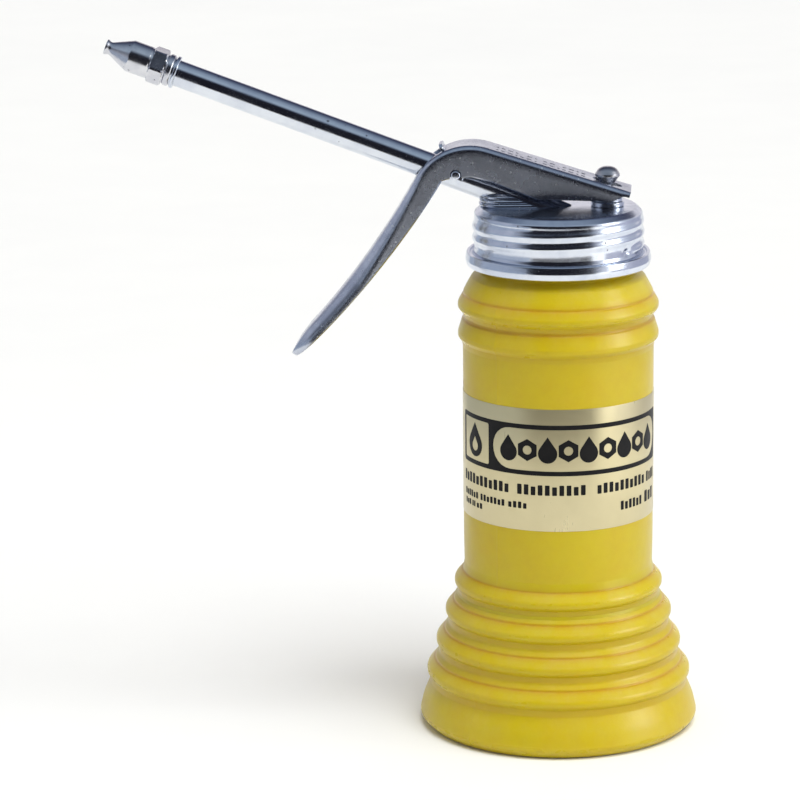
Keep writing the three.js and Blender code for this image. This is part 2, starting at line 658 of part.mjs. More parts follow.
/** The plunger: a rod with a mushroom head above the lever and a thinner tail for the piston. */
function makePlunger() {
  const seat = pivotPoint.z + armTop(rodReach) + GAP;
  const cone = 0.75;
  const flare = seat + ROD.headOverhang * cone;
  const neckTop = seat - ROD.slotRoom * cone;
  const dome = ROD.headHeight - (flare - neckTop);
  const crown = [];
  for (let i = 0; i <= 4; i++) {
    const angle = (Math.PI / 2) * (i / 4);
    crown.push([HEAD_RADIUS * Math.cos(angle), flare + 0.4 + (dome - 0.4) * Math.sin(angle)]);
  }
  const washerTop = WASHER_LOW + PISTON.washer;
  const made = turned([
    [0, NUT_LOW - 0.5],
    [ROD.tailRadius, NUT_LOW - 0.5],
    [ROD.tailRadius, washerTop - 0.02],
    [ROD.radius, washerTop + GAP],
    [ROD.radius, neckTop],
    [HEAD_RADIUS, flare],
    ...crown,
  ]);
  return piece("plunger_rod", made, PLATED_STEEL);
}

function makePiston() {
  const hole = ROD.tailRadius + GAP;
  const outer = BARREL.bore - PISTON.clearance;
  const top = CUP_LOW + PISTON.cup;
  const floor = CUP_LOW + 1;
  const cup = turned([
    [hole, CUP_LOW],
    [outer - 0.4, CUP_LOW],
    [outer, CUP_LOW + 0.6],
    [outer, top],
    [outer - PISTON.cupWall, top],
    [outer - PISTON.cupWall, floor],
    [hole, floor],
    [hole, CUP_LOW],
  ]);
  const washer = ring(hole, outer - PISTON.cupWall - GAP, WASHER_LOW, WASHER_LOW + PISTON.washer);
  const nut = upright(polygon(6, PISTON.nutFlats), NUT_LOW, NUT_LOW + PISTON.nut)
    .subtract(ring(0, hole, NUT_LOW - 1, NUT_LOW + PISTON.nut + 1));
  return [
    piece("piston_cup", cup, LEATHER),
    piece("piston_washer", washer, BRASS),
    piece("piston_nut", nut, BRASS),
  ];
}

/** The spring around the rod that pulls the plunger, and with it the trigger, back down. */
function makeSpring() {
  const radius = (CHAMBER + ROD.radius) / 2 + SPRING.wire;
  const height = SPRING.length - 2 * SPRING.wire;
  const low = SPRING_LOW + SPRING.wire;
  class Coil extends THREE.Curve {
    getPoint(t, target = new THREE.Vector3()) {
      const angle = 2 * Math.PI * SPRING.turns * t;
      return target.set(radius * Math.cos(angle), radius * Math.sin(angle), low + height * t);
    }
  }
  const wire = new THREE.Shape().absarc(0, 0, SPRING.wire, 0, 2 * Math.PI);
  const section = new THREE.Shape(wire.getPoints(3).slice(0, -1));
  const geometry = new THREE.ExtrudeGeometry(section, {
    extrudePath: new Coil(),
    steps: SPRING.turns * 14,
    bevelEnabled: false,
  });
  return piece("return_spring", solid(geometry), SPRING_STEEL);
}

function makeFootValve() {
  const outer = BARREL.bore - GAP;
  const flangeTop = BARREL_LOW - GAP;
  const flangeLow = flangeTop - FOOT.flange;
  const body = turned([
    [FOOT.port, flangeLow - FOOT.nipple],
    [PICKUP.bore - GAP, flangeLow - FOOT.nipple],
    [PICKUP.bore - GAP, flangeLow],
    [BARREL_RADIUS, flangeLow],
    [BARREL_RADIUS, flangeTop],
    [outer, flangeTop],
    [outer, PLUG_TOP],
    [FOOT.chamber, PLUG_TOP],
    [FOOT.chamber, SEAT_Z],
    [FOOT.port, SEAT_Z],
    [FOOT.port, flangeLow - FOOT.nipple],
  ]);
  const ballZ = SEAT_Z + Math.sqrt(FOOT.ballRadius ** 2 - FOOT.port ** 2) + GAP;
  const ball = solid(new THREE.SphereGeometry(FOOT.ballRadius, 14, 10).translate(0, 0, ballZ));
  const retainerLow = PLUG_TOP + GAP;
  const retainer = ring(FOOT.port + 0.2, outer, retainerLow, retainerLow + FOOT.retainer);
  return [
    piece("foot_valve_body", body, BRASS),
    piece("inlet_ball", ball, SPRING_STEEL),
    piece("ball_retainer", retainer, BRASS),
  ];
}

function makePickup() {
  const low = BOTTLE.floor + PICKUP.floorGap;
  const high = BARREL_LOW - 2 * GAP - FOOT.flange;
  const inner = PICKUP.radius + GAP;
  const outer = inner + STRAINER.wall;
  const base = low - GAP - STRAINER.wall;
  let strainer = turned([
    [0, base],
    [outer, base],
    [outer, base + STRAINER.height],
    [inner, base + STRAINER.height],
    [inner, low - GAP],
    [0, low - GAP],
  ]);
  for (let i = 0; i < 3; i++) {
    const slit = block([-outer - 1, -STRAINER.slot / 2, base - 1], [outer + 1, STRAINER.slot / 2, low + 0.9]);
    strainer = strainer.subtract(slit.rotate([0, 0, 60 * i]).subtract(ring(0, 1.6, base - 2, low + 2)));
  }
  return [
    piece("pickup_tube", ring(PICKUP.bore, PICKUP.radius, low, high), CLEAR_PLASTIC),
    piece("inlet_strainer", strainer, BRASS),
  ];
}

// ---------------------------------------------------------------- assembly
oiler.add(makeBottle(), makeLabel(), makeGasket(), makeCap(), makeSaddle());
spout.add(makeSpoutTube(), makeFerrule(), makeNozzle(), makeBracket());
trigger.add(makeLever());
pump.add(
  makePumpBlock(),
  ...makeGland(),
  ...makeBarrel(),
  makePlunger(),
  ...makePiston(),
  makeSpring(),
  ...makeFootValve(),
  ...makePickup(),
);

export default oiler;
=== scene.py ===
"""A pump oiler with a stepped plastic bottle, a plated screw cap, a straight spout and a squeeze lever.

Sizes inside the classes are millimetres in the row frame; meshes are made in metres.
"""

from __future__ import annotations

import logging
import math
from collections.abc import Callable, Sequence
from dataclasses import dataclass, field
from enum import Enum
from typing import ClassVar

import bmesh
import bpy
import numpy as np
from mathutils import Matrix, Vector


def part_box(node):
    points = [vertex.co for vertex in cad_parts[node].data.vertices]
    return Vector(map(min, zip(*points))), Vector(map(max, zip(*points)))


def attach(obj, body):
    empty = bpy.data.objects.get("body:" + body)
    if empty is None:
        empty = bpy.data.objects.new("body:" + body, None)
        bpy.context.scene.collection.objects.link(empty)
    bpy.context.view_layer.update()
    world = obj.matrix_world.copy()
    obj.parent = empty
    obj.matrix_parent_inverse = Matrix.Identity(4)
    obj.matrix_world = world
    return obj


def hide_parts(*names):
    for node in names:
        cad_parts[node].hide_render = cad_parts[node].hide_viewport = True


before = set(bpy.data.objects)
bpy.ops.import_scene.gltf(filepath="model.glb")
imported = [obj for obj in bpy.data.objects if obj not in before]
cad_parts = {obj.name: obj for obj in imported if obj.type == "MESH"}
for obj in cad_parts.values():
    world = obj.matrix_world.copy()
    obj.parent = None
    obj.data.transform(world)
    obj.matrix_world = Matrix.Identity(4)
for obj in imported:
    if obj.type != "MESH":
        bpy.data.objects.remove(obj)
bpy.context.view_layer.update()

MM = 0.001
TAU = 2 * math.pi
Point = tuple[float, float]
Corner = tuple[float, float, float]
Colour = tuple[float, float, float]
Socket = bpy.types.NodeSocket
log = logging.getLogger("oiler")

TINY = 1e-6  # a length that counts as nothing
WELD = 1e-4  # how near two points are when they become one
STRAIGHT = math.radians(89.0)  # half the angle of a corner that is as good as straight
ARC_SHARE = 0.48  # the most of a stretch that the rounding at one of its ends may take


class Body(Enum):
    """The moving bodies that the pieces ride on."""

    BOTTLE = "bottle"
    HEAD = "head"
    LEVER = "trigger"
    PLUNGER = "plunger"


class Slot(Enum):
    """The record's finishes that the pieces stand for."""

    BOTTLE = "bottle_plastic"
    LABEL = "label_foil"
    CAP = "cap_zinc"
    SPOUT = "spout_zinc"
    NOZZLE = "nozzle_zinc"
    LEVER = "lever_zinc"
    ROD = "rod_steel"


# ---------------------------------------------------------------- shapes


def box_mm(node: str) -> tuple[Vector, Vector]:
    """The lowest and highest corner of a solid, in millimetres."""
    low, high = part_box(node)
    return low / MM, high / MM


def rounded(corners: Sequence[Corner], steps: int = 5) -> list[Point]:
    """Rounds the corners of an open line.

    Args:
        corners: x, y and the rounding radius of each corner.
        steps: pieces of each rounding arc.

    Returns:
        The line's points.
    """
    points: list[Point] = []
    for i, (x, y, radius) in enumerate(corners):
        here = Vector((x, y))
        if radius <= 0 or i in (0, len(corners) - 1):
            points.append((x, y))
            continue
        back = Vector(corners[i - 1][:2]) - here
        ahead = Vector(corners[i + 1][:2]) - here
        half = back.angle(ahead) / 2
        if half > STRAIGHT:
            points.append((x, y))
            continue
        reach = min(radius / math.tan(half), ARC_SHARE * back.length, ARC_SHARE * ahead.length)
        used = reach * math.tan(half)
        centre = here + (back.normalized() + ahead.normalized()).normalized() * (used / math.sin(half))
        arm = here + back.normalized() * reach - centre
        turn = math.pi - 2 * half
        if back.x * ahead.y - back.y * ahead.x > 0:
            turn = -turn
        for k in range(steps + 1):
            c, s = math.cos(turn * k / steps), math.sin(turn * k / steps)
            points.append((centre.x + arm.x * c - arm.y * s, centre.y + arm.x * s + arm.y * c))
    return points


def bezier(a: Point, b: Point, c: Point, d: Point, steps: int) -> list[Point]:
    """Points along a cubic curve.

    Args:
        a: where it starts.
        b: the handle that it leaves towards.
        c: the handle that it arrives from.
        d: where it ends.
        steps: how many stretches it has.

    Returns:
        Its points, with both ends.
    """
    t = np.linspace(0, 1, steps + 1)[:, None]
    curve = (1 - t) ** 3 * np.array(a) + 3 * (1 - t) ** 2 * t * np.array(b)
    curve = curve + 3 * (1 - t) * t**2 * np.array(c) + t**3 * np.array(d)
    return [(float(x), float(y)) for x, y in curve]


def spaced(points: Sequence[Point], step: float) -> list[Point]:
    """Divides the long stretches of a line.

    Args:
        points: the line.
        step: the longest stretch that stays.

    Returns:
        The same line with more points.
    """
    out = [points[0]]
    for (x0, y0), (x1, y1) in zip(points, points[1:]):
        parts = max(1, math.ceil(math.hypot(x1 - x0, y1 - y0) / step))
        out += [(x0 + (x1 - x0) * k / parts, y0 + (y1 - y0) * k / parts) for k in range(1, parts + 1)]
    return out


def polar(origin: Point, distance: float, degrees: float) -> Point:
    """A point at a distance and angle from another."""
    a = math.radians(degrees)
    return origin[0] + distance * math.cos(a), origin[1] + distance * math.sin(a)


def bump(value: float, width: float) -> float:
    """A smooth hill of height 1 round 0."""
    return math.exp(-((value / width) ** 2))


@dataclass
class Shell:
    """Vertices in millimetres and the faces over them, gathered before they become a mesh."""

    verts: list[tuple[float, float, float]] = field(default_factory=list)
    faces: list[tuple[int, ...]] = field(default_factory=list)

    def grid(self, rows: Sequence[Sequence[Sequence[float]]], around: bool, along: bool = False) -> None:
        """Adds a grid of points and its quads.

        Args:
            rows: rows of 3-D points, all the same length.
            around: joins the end of each row to its start.
            along: joins the last row to the first.
        """
        start, width = len(self.verts), len(rows[0])
        for row in rows:
            self.verts += [tuple(float(v) for v in p) for p in row]
        for i in range(len(rows) if along else len(rows) - 1):
            low, high = start + i * width, start + (i + 1) % len(rows) * width
            for j in range(width if around else width - 1):
                k = (j + 1) % width
                self.faces.append((low + j, low + k, high + k, high + j))

    def cap(self, points: Sequence[Sequence[float]]) -> None:
        """Adds one flat face.

        Args:
            points: the ring of points round it.
        """
        start = len(self.verts)
        self.verts += [tuple(float(v) for v in p) for p in points]
        self.faces.append(tuple(range(start, len(self.verts))))

    def solid(self, rings: Sequence[Sequence[Sequence[float]]]) -> Shell:
        """Adds rings joined in order, with a flat face over the first and the last.

        Args:
            rings: rings of 3-D points, all the same length.

        Returns:
            The shell itself.
        """
        self.grid(rings, around=True)
        self.cap(rings[0])
        self.cap(rings[-1])
        return self

    def turned(
        self,
        profile: Sequence[Point],
        sides: int,
        radius: Callable[[float, float, float], float] | None = None,
        angles: Sequence[float] | None = None,
        closed: bool = False,
    ) -> Shell:
        """Adds a profile turned about the local Z axis.

        Args:
            profile: radius and height of each row.
            sides: steps round the axis.
            radius: changes a row's radius by radius, height and angle.
            angles: uneven steps round the axis, in place of even ones.
            closed: joins the profile's end to its start.

        Returns:
            The shell itself.
        """
        turns = list(angles) if angles is not None else [TAU * k / sides for k in range(sides)]
        rows = []
        for r, z in profile:
            sizes = [radius(r, z, a) if radius and r > TINY else r for a in turns]
            rows.append([(s * math.cos(a), s * math.sin(a), z) for s, a in zip(sizes, turns)])
        self.grid(rows, around=True, along=closed)
        return self

    def piece(self, name: str, place: Matrix | None = None, sharp: float = 32.0) -> bpy.types.Object:
        """Makes the object.

        Args:
            name: the piece's name.
            place: where its local frame stands, in millimetres.
            sharp: the angle in degrees above which an edge stays hard.

        Returns:
            The new object, in the scene.
        """
        mesh = bpy.data.meshes.new(name)
        mesh.from_pydata(self.verts, [], self.faces)
        made = bmesh.new()
        made.from_mesh(mesh)
        bmesh.ops.remove_doubles(made, verts=made.verts, dist=WELD)
        bmesh.ops.dissolve_degenerate(made, edges=made.edges, dist=WELD)
        if place is not None:
            bmesh.ops.transform(made, matrix=place, verts=made.verts)
        bmesh.ops.scale(made, vec=(MM, MM, MM), verts=made.verts)
        bmesh.ops.recalc_face_normals(made, faces=made.faces)
        made.to_mesh(mesh)
        made.free()
        obj = bpy.data.objects.new(name, mesh)
        bpy.context.scene.collection.objects.link(obj)
        smooth(obj, sharp)
        return obj


def smooth(obj: bpy.types.Object, sharp: float) -> None:
    """Shades a mesh smoothly, with hard edges above an angle."""
    obj.data.shade_smooth()
    obj.data.set_sharp_from_angle(angle=math.radians(sharp))


def in_order(made: bmesh.types.BMesh) -> tuple[list[Vector], list[tuple[int, ...]]]:
    """Puts points and faces in an order that is the same in every run.

    Args:
        made: the shape, as the mesh tools left it.

    Returns:
        Its points, sorted by place, and its faces over them, each from its lowest point.
    """
    verts = sorted(made.verts, key=lambda vert: tuple(vert.co))
    rank = {vert: k for k, vert in enumerate(verts)}
    faces = []
    for face in made.faces:
        ring = [rank[vert] for vert in face.verts]
        first = ring.index(min(ring))
        faces.append(tuple(ring[first:] + ring[:first]))
    return [vert.co.copy() for vert in verts], sorted(faces)


def prism(outline: Sequence[Point], half: float) -> Shell:
    """An outline in the XZ plane, given a width along Y about the middle.

    Args:
        outline: its points, as x and z.
        half: half the width.

    Returns:
        The closed solid.
    """
    return Shell().solid([[(x, y, z) for x, z in outline] for y in (-half, half)])


def cut(obj: bpy.types.Object, cutters: Sequence[bpy.types.Object], sharp: float) -> None:
    """Takes solids away from a piece and deletes them.

    Args:
        obj: the piece, whose mesh is replaced.
        cutters: closed solids.
        sharp: the angle in degrees above which an edge stays hard afterwards.
    """
    for cutter in cutters:
        modifier = obj.modifiers.new("cut", "BOOLEAN")
        modifier.operation = "DIFFERENCE"
        modifier.solver = "EXACT"
        modifier.object = cutter
    bpy.context.view_layer.update()
    ready = obj.evaluated_get(bpy.context.evaluated_depsgraph_get())
    made = bpy.data.meshes.new_from_object(ready)
    obj.modifiers.clear()
    obj.data = made
    smooth(obj, sharp)
    for cutter in cutters:
        bpy.data.objects.remove(cutter)


def mount(obj: bpy.types.Object, body: Body, slot: Slot, material: bpy.types.Material, *nodes: str) -> None:
    """Gives a finished piece its material and body, and hides the solids that it stands for.

    Args:
        obj: the piece, in place.
        body: what it moves with.
        slot: the record's finish; not used.
        material: its material.
        *nodes: the solids that it replaces.
    """
    obj.data.materials.clear()
    obj.data.materials.append(material)
    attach(obj, body.value)
    if nodes:
        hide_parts(*nodes)
    log.info("%s: %d faces on %s", obj.name, len(obj.data.polygons), body.value)


# ---------------------------------------------------------------- node work


@dataclass
class Nodes:
    """A short way to add nodes to a tree."""

    tree: bpy.types.NodeTree

    def add(
        self, kind: str, inputs: dict[str | int, object] | None = None, **settings: object
    ) -> bpy.types.Node:
        """Adds a node.

        Args:
            kind: the node type, without its ShaderNode prefix.
            inputs: values or sockets by input name or number.
            **settings: the node's own properties.

        Returns:
            The node.
        """
        node = self.tree.nodes.new("ShaderNode" + kind)
        for key, value in settings.items():
            setattr(node, key, value)
        for key, value in (inputs or {}).items():
            if isinstance(value, bpy.types.NodeSocket):
                self.tree.links.new(value, node.inputs[key])
            else:
                node.inputs[key].default_value = value
        return node

    def math(self, operation: str, *values: float | Socket) -> Socket:
        """A sum or other operation on values."""
        node = self.add("Math", dict(enumerate(values)), operation=operation)
        return node.outputs[0]

    def step(self, value: Socket, low: float | Socket, high: float | Socket) -> Socket:
        """A smooth step from 0 at low to 1 at high."""
        node = self.add(
            "MapRange", {"Value": value, "From Min": low, "From Max": high}, interpolation_type="SMOOTHSTEP"
        )
        return node.outputs["Result"]

    def mix(self, mask: Socket, a: object, b: object) -> Socket:
        """Two colours mixed by a mask."""
        node = self.add("Mix", {0: mask, 6: a, 7: b}, data_type="RGBA")
        return node.outputs[2]

    def where(self) -> Socket:
        """The piece's own coordinates, in metres."""
        return self.add("TexCoord").outputs["Object"]


class Effect(Enum):
    """The effects that materials share."""

    MOTTLE = "mottle"
    GRAIN = "grain"
    SPECKS = "specks"
    WEAR = "edge_wear"
    LINES = "drawn_lines"
    DUST = "dust"


class Effects:
    """Builds each shared node group once and places it in materials."""

    def __init__(self) -> None:
        self.made: dict[Effect, bpy.types.NodeTree] = {}

    def place(self, nodes: Nodes, effect: Effect, **values: object) -> bpy.types.Node:
        """Places an effect in a material.

        Args:
            nodes: the material's nodes.
            effect: which effect.
            **values: its inputs, by name.

        Returns:
            The group node.
        """
        if effect not in self.made:
            self.made[effect] = getattr(self, "build_" + effect.name.lower())(effect.value)
        group = nodes.tree.nodes.new("ShaderNodeGroup")
        group.node_tree = self.made[effect]
        for key, value in values.items():
            group.inputs[key].default_value = value
        return group

    @staticmethod
    def start(
        name: str, inputs: dict[str, float | tuple[float, float, float]], outputs: Sequence[str]
    ) -> tuple[Nodes, dict[str, Socket], dict[str, Socket]]:
        """Opens a node group.

        Args:
            name: the group's name.
            inputs: its inputs with their defaults.
            outputs: its value outputs.

        Returns:
            Its nodes, its inner input sockets and its inner output sockets.
        """
        tree = bpy.data.node_groups.new(name, "ShaderNodeTree")
        for key, value in inputs.items():
            kind = "NodeSocketVector" if isinstance(value, tuple) else "NodeSocketFloat"
            socket = tree.interface.new_socket(key, in_out="INPUT", socket_type=kind)
            socket.default_value = value
        for key in outputs:
            tree.interface.new_socket(key, in_out="OUTPUT", socket_type="NodeSocketFloat")
        entry, leave = tree.nodes.new("NodeGroupInput"), tree.nodes.new("NodeGroupOutput")
        return (
            Nodes(tree),
            {key: entry.outputs[key] for key in inputs},
            {key: leave.inputs[key] for key in outputs},
        )

    def build_mottle(self, name: str) -> bpy.types.NodeTree:
        """Large soft patches, from two sizes of noise.

        Args:
            name: the group's name.

        Returns:
            The group.
        """
        n, given, out = self.start(name, {"Scale": 60.0, "Contrast": 0.2}, ["Mask"])
        broad = n.add("TexNoise", {"Vector": n.where(), "Scale": given["Scale"], "Detail": 4.0})
        finer, fine_share = 5.3, 0.35
        small = n.math("MULTIPLY", given["Scale"], finer)
        fine = n.add("TexNoise", {"Vector": n.where(), "Scale": small, "Detail": 3.0})
        large = n.math("MULTIPLY", broad.outputs["Fac"], 1.0 - fine_share)
        both = n.math("MULTIPLY_ADD", fine.outputs["Fac"], fine_share, large)
        low = n.math("SUBTRACT", 0.5, given["Contrast"])
        high = n.math("ADD", 0.5, given["Contrast"])
        n.tree.links.new(n.step(both, low, high), out["Mask"])
        return n.tree

    def build_grain(self, name: str) -> bpy.types.NodeTree:
        """Fine even surface texture, as height.

        Args:
            name: the group's name.

        Returns:
            The group.
        """
        n, given, out = self.start(name, {"Scale": 2000.0, "Roughness": 0.6}, ["Height"])
        noise = n.add(
            "TexNoise",
            {"Vector": n.where(), "Scale": given["Scale"], "Detail": 3.0, "Roughness": given["Roughness"]},
        )
        n.tree.links.new(noise.outputs["Fac"], out["Height"])
        return n.tree

    def build_specks(self, name: str) -> bpy.types.NodeTree:
        """Small scattered spots of uneven size.

        Args:
            name: the group's name.

        Returns:
            The group.
        """
        n, given, out = self.start(name, {"Scale": 500.0, "Size": 0.15, "Share": 0.3}, ["Mask"])
        cells = n.add("TexVoronoi", {"Vector": n.where(), "Scale": given["Scale"]})
        size = n.math("MULTIPLY", given["Size"], cells.outputs["Color"])
        core = n.math("MULTIPLY", size, 0.5)
        spot = n.math("SUBTRACT", 1.0, n.step(cells.outputs["Distance"], core, size))
        pick = n.add("TexWhiteNoise", {"Vector": cells.outputs["Position"]})
        kept = n.math("LESS_THAN", pick.outputs["Value"], given["Share"])
        n.tree.links.new(n.math("MULTIPLY", spot, kept), out["Mask"])
        return n.tree

    def build_wear(self, name: str) -> bpy.types.NodeTree:
        """Rubbed outer edges, broken up by noise.

        Args:
            name: the group's name.

        Returns:
            The group.
        """
        n, given, out = self.start(name, {"Width": 0.04, "Scale": 300.0}, ["Edges"])
        bend = n.add("NewGeometry").outputs["Pointiness"]
        noise = n.add("TexNoise", {"Vector": n.where(), "Scale": given["Scale"], "Detail": 3.0})
        broken = n.step(noise.outputs["Fac"], 0.3, 0.65)
        flat = 0.505
        edge = n.step(bend, flat, n.math("ADD", flat, given["Width"]))
        n.tree.links.new(n.math("MULTIPLY", edge, broken), out["Edges"])
        return n.tree

    def build_lines(self, name: str) -> bpy.types.NodeTree:
        """Fine lines left by drawing or turning, stretched along one way.

        Args:
            name: the group's name.

        Returns:
            The group.
        """
        ways = {"Stretch": (60.0, 3000.0, 3000.0), "Turn": (0.0, 0.0, 0.0)}
        n, given, out = self.start(name, ways, ["Height"])
        held = {"Vector": n.where(), "Rotation": given["Turn"]}
        turned = n.add("VectorRotate", held, rotation_type="EULER_XYZ")
        pulled = n.add("VectorMath", {0: turned.outputs[0], 1: given["Stretch"]}, operation="MULTIPLY")
        noise = n.add(
            "TexNoise", {"Vector": pulled.outputs[0], "Scale": 1.0, "Detail": 4.0, "Roughness": 0.65}
        )
        n.tree.links.new(noise.outputs["Fac"], out["Height"])
        return n.tree

    def build_dust(self, name: str) -> bpy.types.NodeTree:
        """A thin uneven film, thicker on faces that look up.

        Args:
            name: the group's name.

        Returns:
            The group.
        """
        n, given, out = self.start(name, {"Scale": 90.0, "Amount": 0.3}, ["Mask"])
        up = n.add("SeparateXYZ", {0: n.add("NewGeometry").outputs["Normal"]}).outputs["Z"]
        noise = n.add(
            "TexNoise", {"Vector": n.where(), "Scale": given["Scale"], "Detail": 6.0, "Roughness": 0.7}
        )
        film = n.math("MULTIPLY", n.step(up, -0.2, 1.0), n.step(noise.outputs["Fac"], 0.35, 0.7))
        n.tree.links.new(n.math("MULTIPLY", film, given["Amount"]), out["Mask"])
        return n.tree


EFFECTS = Effects()


def new_material(name: str) -> tuple[bpy.types.Material, Nodes, bpy.types.Node]:
    """An empty material.

    Args:
        name: its name.

    Returns:
        The material, its nodes and its main shader.
    """
    material = bpy.data.materials.new(name)
    material.use_nodes = True
    nodes = Nodes(material.node_tree)
    return material, nodes, material.node_tree.nodes["Principled BSDF"]


def rgba(colour: Colour) -> tuple[float, float, float, float]:
    """A colour with full alpha."""
    return (*colour, 1.0)


def link_bump(
    nodes: Nodes, shader: bpy.types.Node, height: Socket, strength: float, depth: float
) -> None:
    """Feeds a height to a shader's normal.

    Args:
        nodes: the material's nodes.
        shader: its main shader.
        height: the height, from 0 to 1.
        strength: how much of it shows.
        depth: how deep 1 is, in metres.
    """
    node = nodes.add("Bump", {"Strength": strength, "Distance": depth, "Height": height})
    nodes.tree.links.new(node.outputs[0], shader.inputs["Normal"])


# ---------------------------------------------------------------- finishes


@dataclass(frozen=True)
class Plating:
    """A plated or bare metal with patches, fine lines, specks and rubbed edges."""

    name: str
    colour: Colour
    patch: Colour
    rub: Colour
    roughness: float
    patch_roughness: float
    mottle_scale: float = 90.0
    contrast: float = 0.14
    stretch: tuple[float, float, float] = (2200.0, 2200.0, 2200.0)
    turn: tuple[float, float, float] = (0.0, 0.0, 0.0)
    line_depth: float = 2e-6
    speck_scale: float = 900.0
    speck_share: float = 0.2
    speck: Colour = (0.25, 0.26, 0.30)
    dust: float = 0.1
    FILM: ClassVar[Colour] = (0.55, 0.55, 0.56)

    def material(self) -> bpy.types.Material:
        """Builds the metal's nodes.

        Returns:
            The material.
        """
        material, n, shader = new_material(self.name)
        patches = EFFECTS.place(n, Effect.MOTTLE, Scale=self.mottle_scale, Contrast=self.contrast)
        wear = EFFECTS.place(n, Effect.WEAR, Width=0.05, Scale=500.0)
        specks = EFFECTS.place(
            n, Effect.SPECKS, Scale=self.speck_scale, Size=0.45, Share=self.speck_share
        ).outputs["Mask"]
        dust = EFFECTS.place(n, Effect.DUST, Scale=140.0, Amount=self.dust).outputs["Mask"]
        lines = EFFECTS.place(n, Effect.LINES, Stretch=self.stretch, Turn=self.turn).outputs["Height"]
        rubbed, dust_dulls, speck_dulls = 0.5, 0.5, 0.15
        colour = n.mix(patches.outputs["Mask"], rgba(self.colour), rgba(self.patch))
        colour = n.mix(n.math("MULTIPLY", wear.outputs["Edges"], rubbed), colour, rgba(self.rub))
        colour = n.mix(specks, colour, rgba(self.speck))
        colour = n.mix(dust, colour, rgba(self.FILM))
        spread = self.patch_roughness - self.roughness
        rough = n.math("MULTIPLY_ADD", patches.outputs["Mask"], spread, self.roughness)
        rough = n.math("ADD", rough, n.math("MULTIPLY", dust, dust_dulls))
        rough = n.math("MULTIPLY_ADD", specks, speck_dulls, rough)
        shader.inputs["Metallic"].default_value = 1.0
        n.tree.links.new(colour, shader.inputs["Base Color"])
        n.tree.links.new(rough, shader.inputs["Roughness"])
        grain = EFFECTS.place(n, Effect.GRAIN, Scale=700.0, Roughness=0.5).outputs["Height"]
        pits, grain_share = n.math("MULTIPLY", specks, 0.5), 0.6
        height = n.math("MULTIPLY_ADD", grain, grain_share, n.math("SUBTRACT", lines, pits))
        link_bump(n, shader, height, 1.0, self.line_depth)
        return material


@dataclass(frozen=True)
class MouldedPlastic:
    """Waxy moulded plastic, with painted shade in its creases and a few specks."""

    name: str
    colour: Colour
    shade: Colour
    crease_shade: Colour
    roughness: float = 0.27
    glow: float = 0.2
    PAINTED_CREASE_SHADE: ClassVar[str] = "painted_crease_shade"
    GRIT: ClassVar[Colour] = (0.10, 0.05, 0.012)
    FILM: ClassVar[Colour] = (0.75, 0.72, 0.6)
    REDDENS: ClassVar[Colour] = (1.0, 0.55, 0.12)

    def material(self) -> bpy.types.Material:
        """Builds the plastic's nodes.

        Returns:
            The material.
        """
        material, n, shader = new_material(self.name)
        patches = EFFECTS.place(n, Effect.MOTTLE, Scale=38.0, Contrast=0.22).outputs[0]
        cloud = EFFECTS.place(n, Effect.MOTTLE, Scale=420.0, Contrast=0.3).outputs[0]
        wear = EFFECTS.place(n, Effect.WEAR, Width=0.014, Scale=260.0)
        specks = EFFECTS.place(n, Effect.SPECKS, Scale=150.0, Size=0.07, Share=0.1).outputs[0]
        dust = EFFECTS.place(n, Effect.DUST, Scale=120.0, Amount=0.08).outputs[0]
        colour = n.mix(patches, rgba(self.colour), rgba(self.shade))
        pale = tuple(min(1.0, c * 1.1) for c in self.colour)
        colour = n.mix(n.math("MULTIPLY", cloud, 0.5), colour, rgba(pale))
        # Painted shade: an orange-brown darkening in the bottle's creases, from a mask stored on its points
        # and broken up a little by noise.
        painted_crease_shade = n.add("Attribute", attribute_name=self.PAINTED_CREASE_SHADE).outputs["Fac"]
        painted_shade = n.math("MULTIPLY", painted_crease_shade, n.math("MULTIPLY_ADD", cloud, 0.35, 0.5))
        colour = n.mix(painted_shade, colour, rgba(self.crease_shade))
        colour = n.mix(specks, colour, rgba(self.GRIT))
        colour = n.mix(dust, colour, rgba(self.FILM))
        rough = n.math("MULTIPLY_ADD", patches, 0.08, self.roughness)
        rough = n.math("MULTIPLY_ADD", wear.outputs["Edges"], -0.08, rough)
        rough = n.math("MULTIPLY_ADD", dust, 1.2, rough)
        shader.inputs["Subsurface Weight"].default_value = self.glow
        shader.inputs["Subsurface Radius"].default_value = self.REDDENS
        shader.inputs["Subsurface Scale"].default_value = 0.0016
        shader.inputs["IOR"].default_value = 1.42
        n.tree.links.new(colour, shader.inputs["Base Color"])
        n.tree.links.new(rough, shader.inputs["Roughness"])
        grain = EFFECTS.place(n, Effect.GRAIN, Scale=1900.0, Roughness=0.65).outputs[0]
        ripple = EFFECTS.place(n, Effect.GRAIN, Scale=170.0, Roughness=0.4).outputs[0]
        height = n.math("MULTIPLY_ADD", ripple, 2.6, n.math("SUBTRACT", grain, specks))
        link_bump(n, shader, height, 0.8, 3.2e-5)
        return material


@dataclass(frozen=True)
class Foil:
    """Satin metal foil on paper, with a fine upright brush."""

    name: str
    colour: Colour
    tarnish: Colour
    roughness: float = 0.27

    def material(self) -> bpy.types.Material:
        """Builds the foil's nodes.

        Returns:
            The material.
        """
        material, n, shader = new_material(self.name)
        patches = EFFECTS.place(n, Effect.MOTTLE, Scale=45.0, Contrast=0.3).outputs[0]
        brush = EFFECTS.place(n, Effect.LINES, Stretch=(1800.0, 1800.0, 60.0)).outputs[0]
        colour = n.mix(patches, rgba(self.colour), rgba(self.tarnish))
        rough = n.math("MULTIPLY_ADD", patches, 0.1, self.roughness - 0.08)
        rough = n.math("MULTIPLY_ADD", brush, 0.16, rough)
        shader.inputs["Metallic"].default_value = 0.72
        n.tree.links.new(colour, shader.inputs["Base Color"])
        n.tree.links.new(rough, shader.inputs["Roughness"])
        link_bump(n, shader, brush, 0.6, 6e-6)
        return material


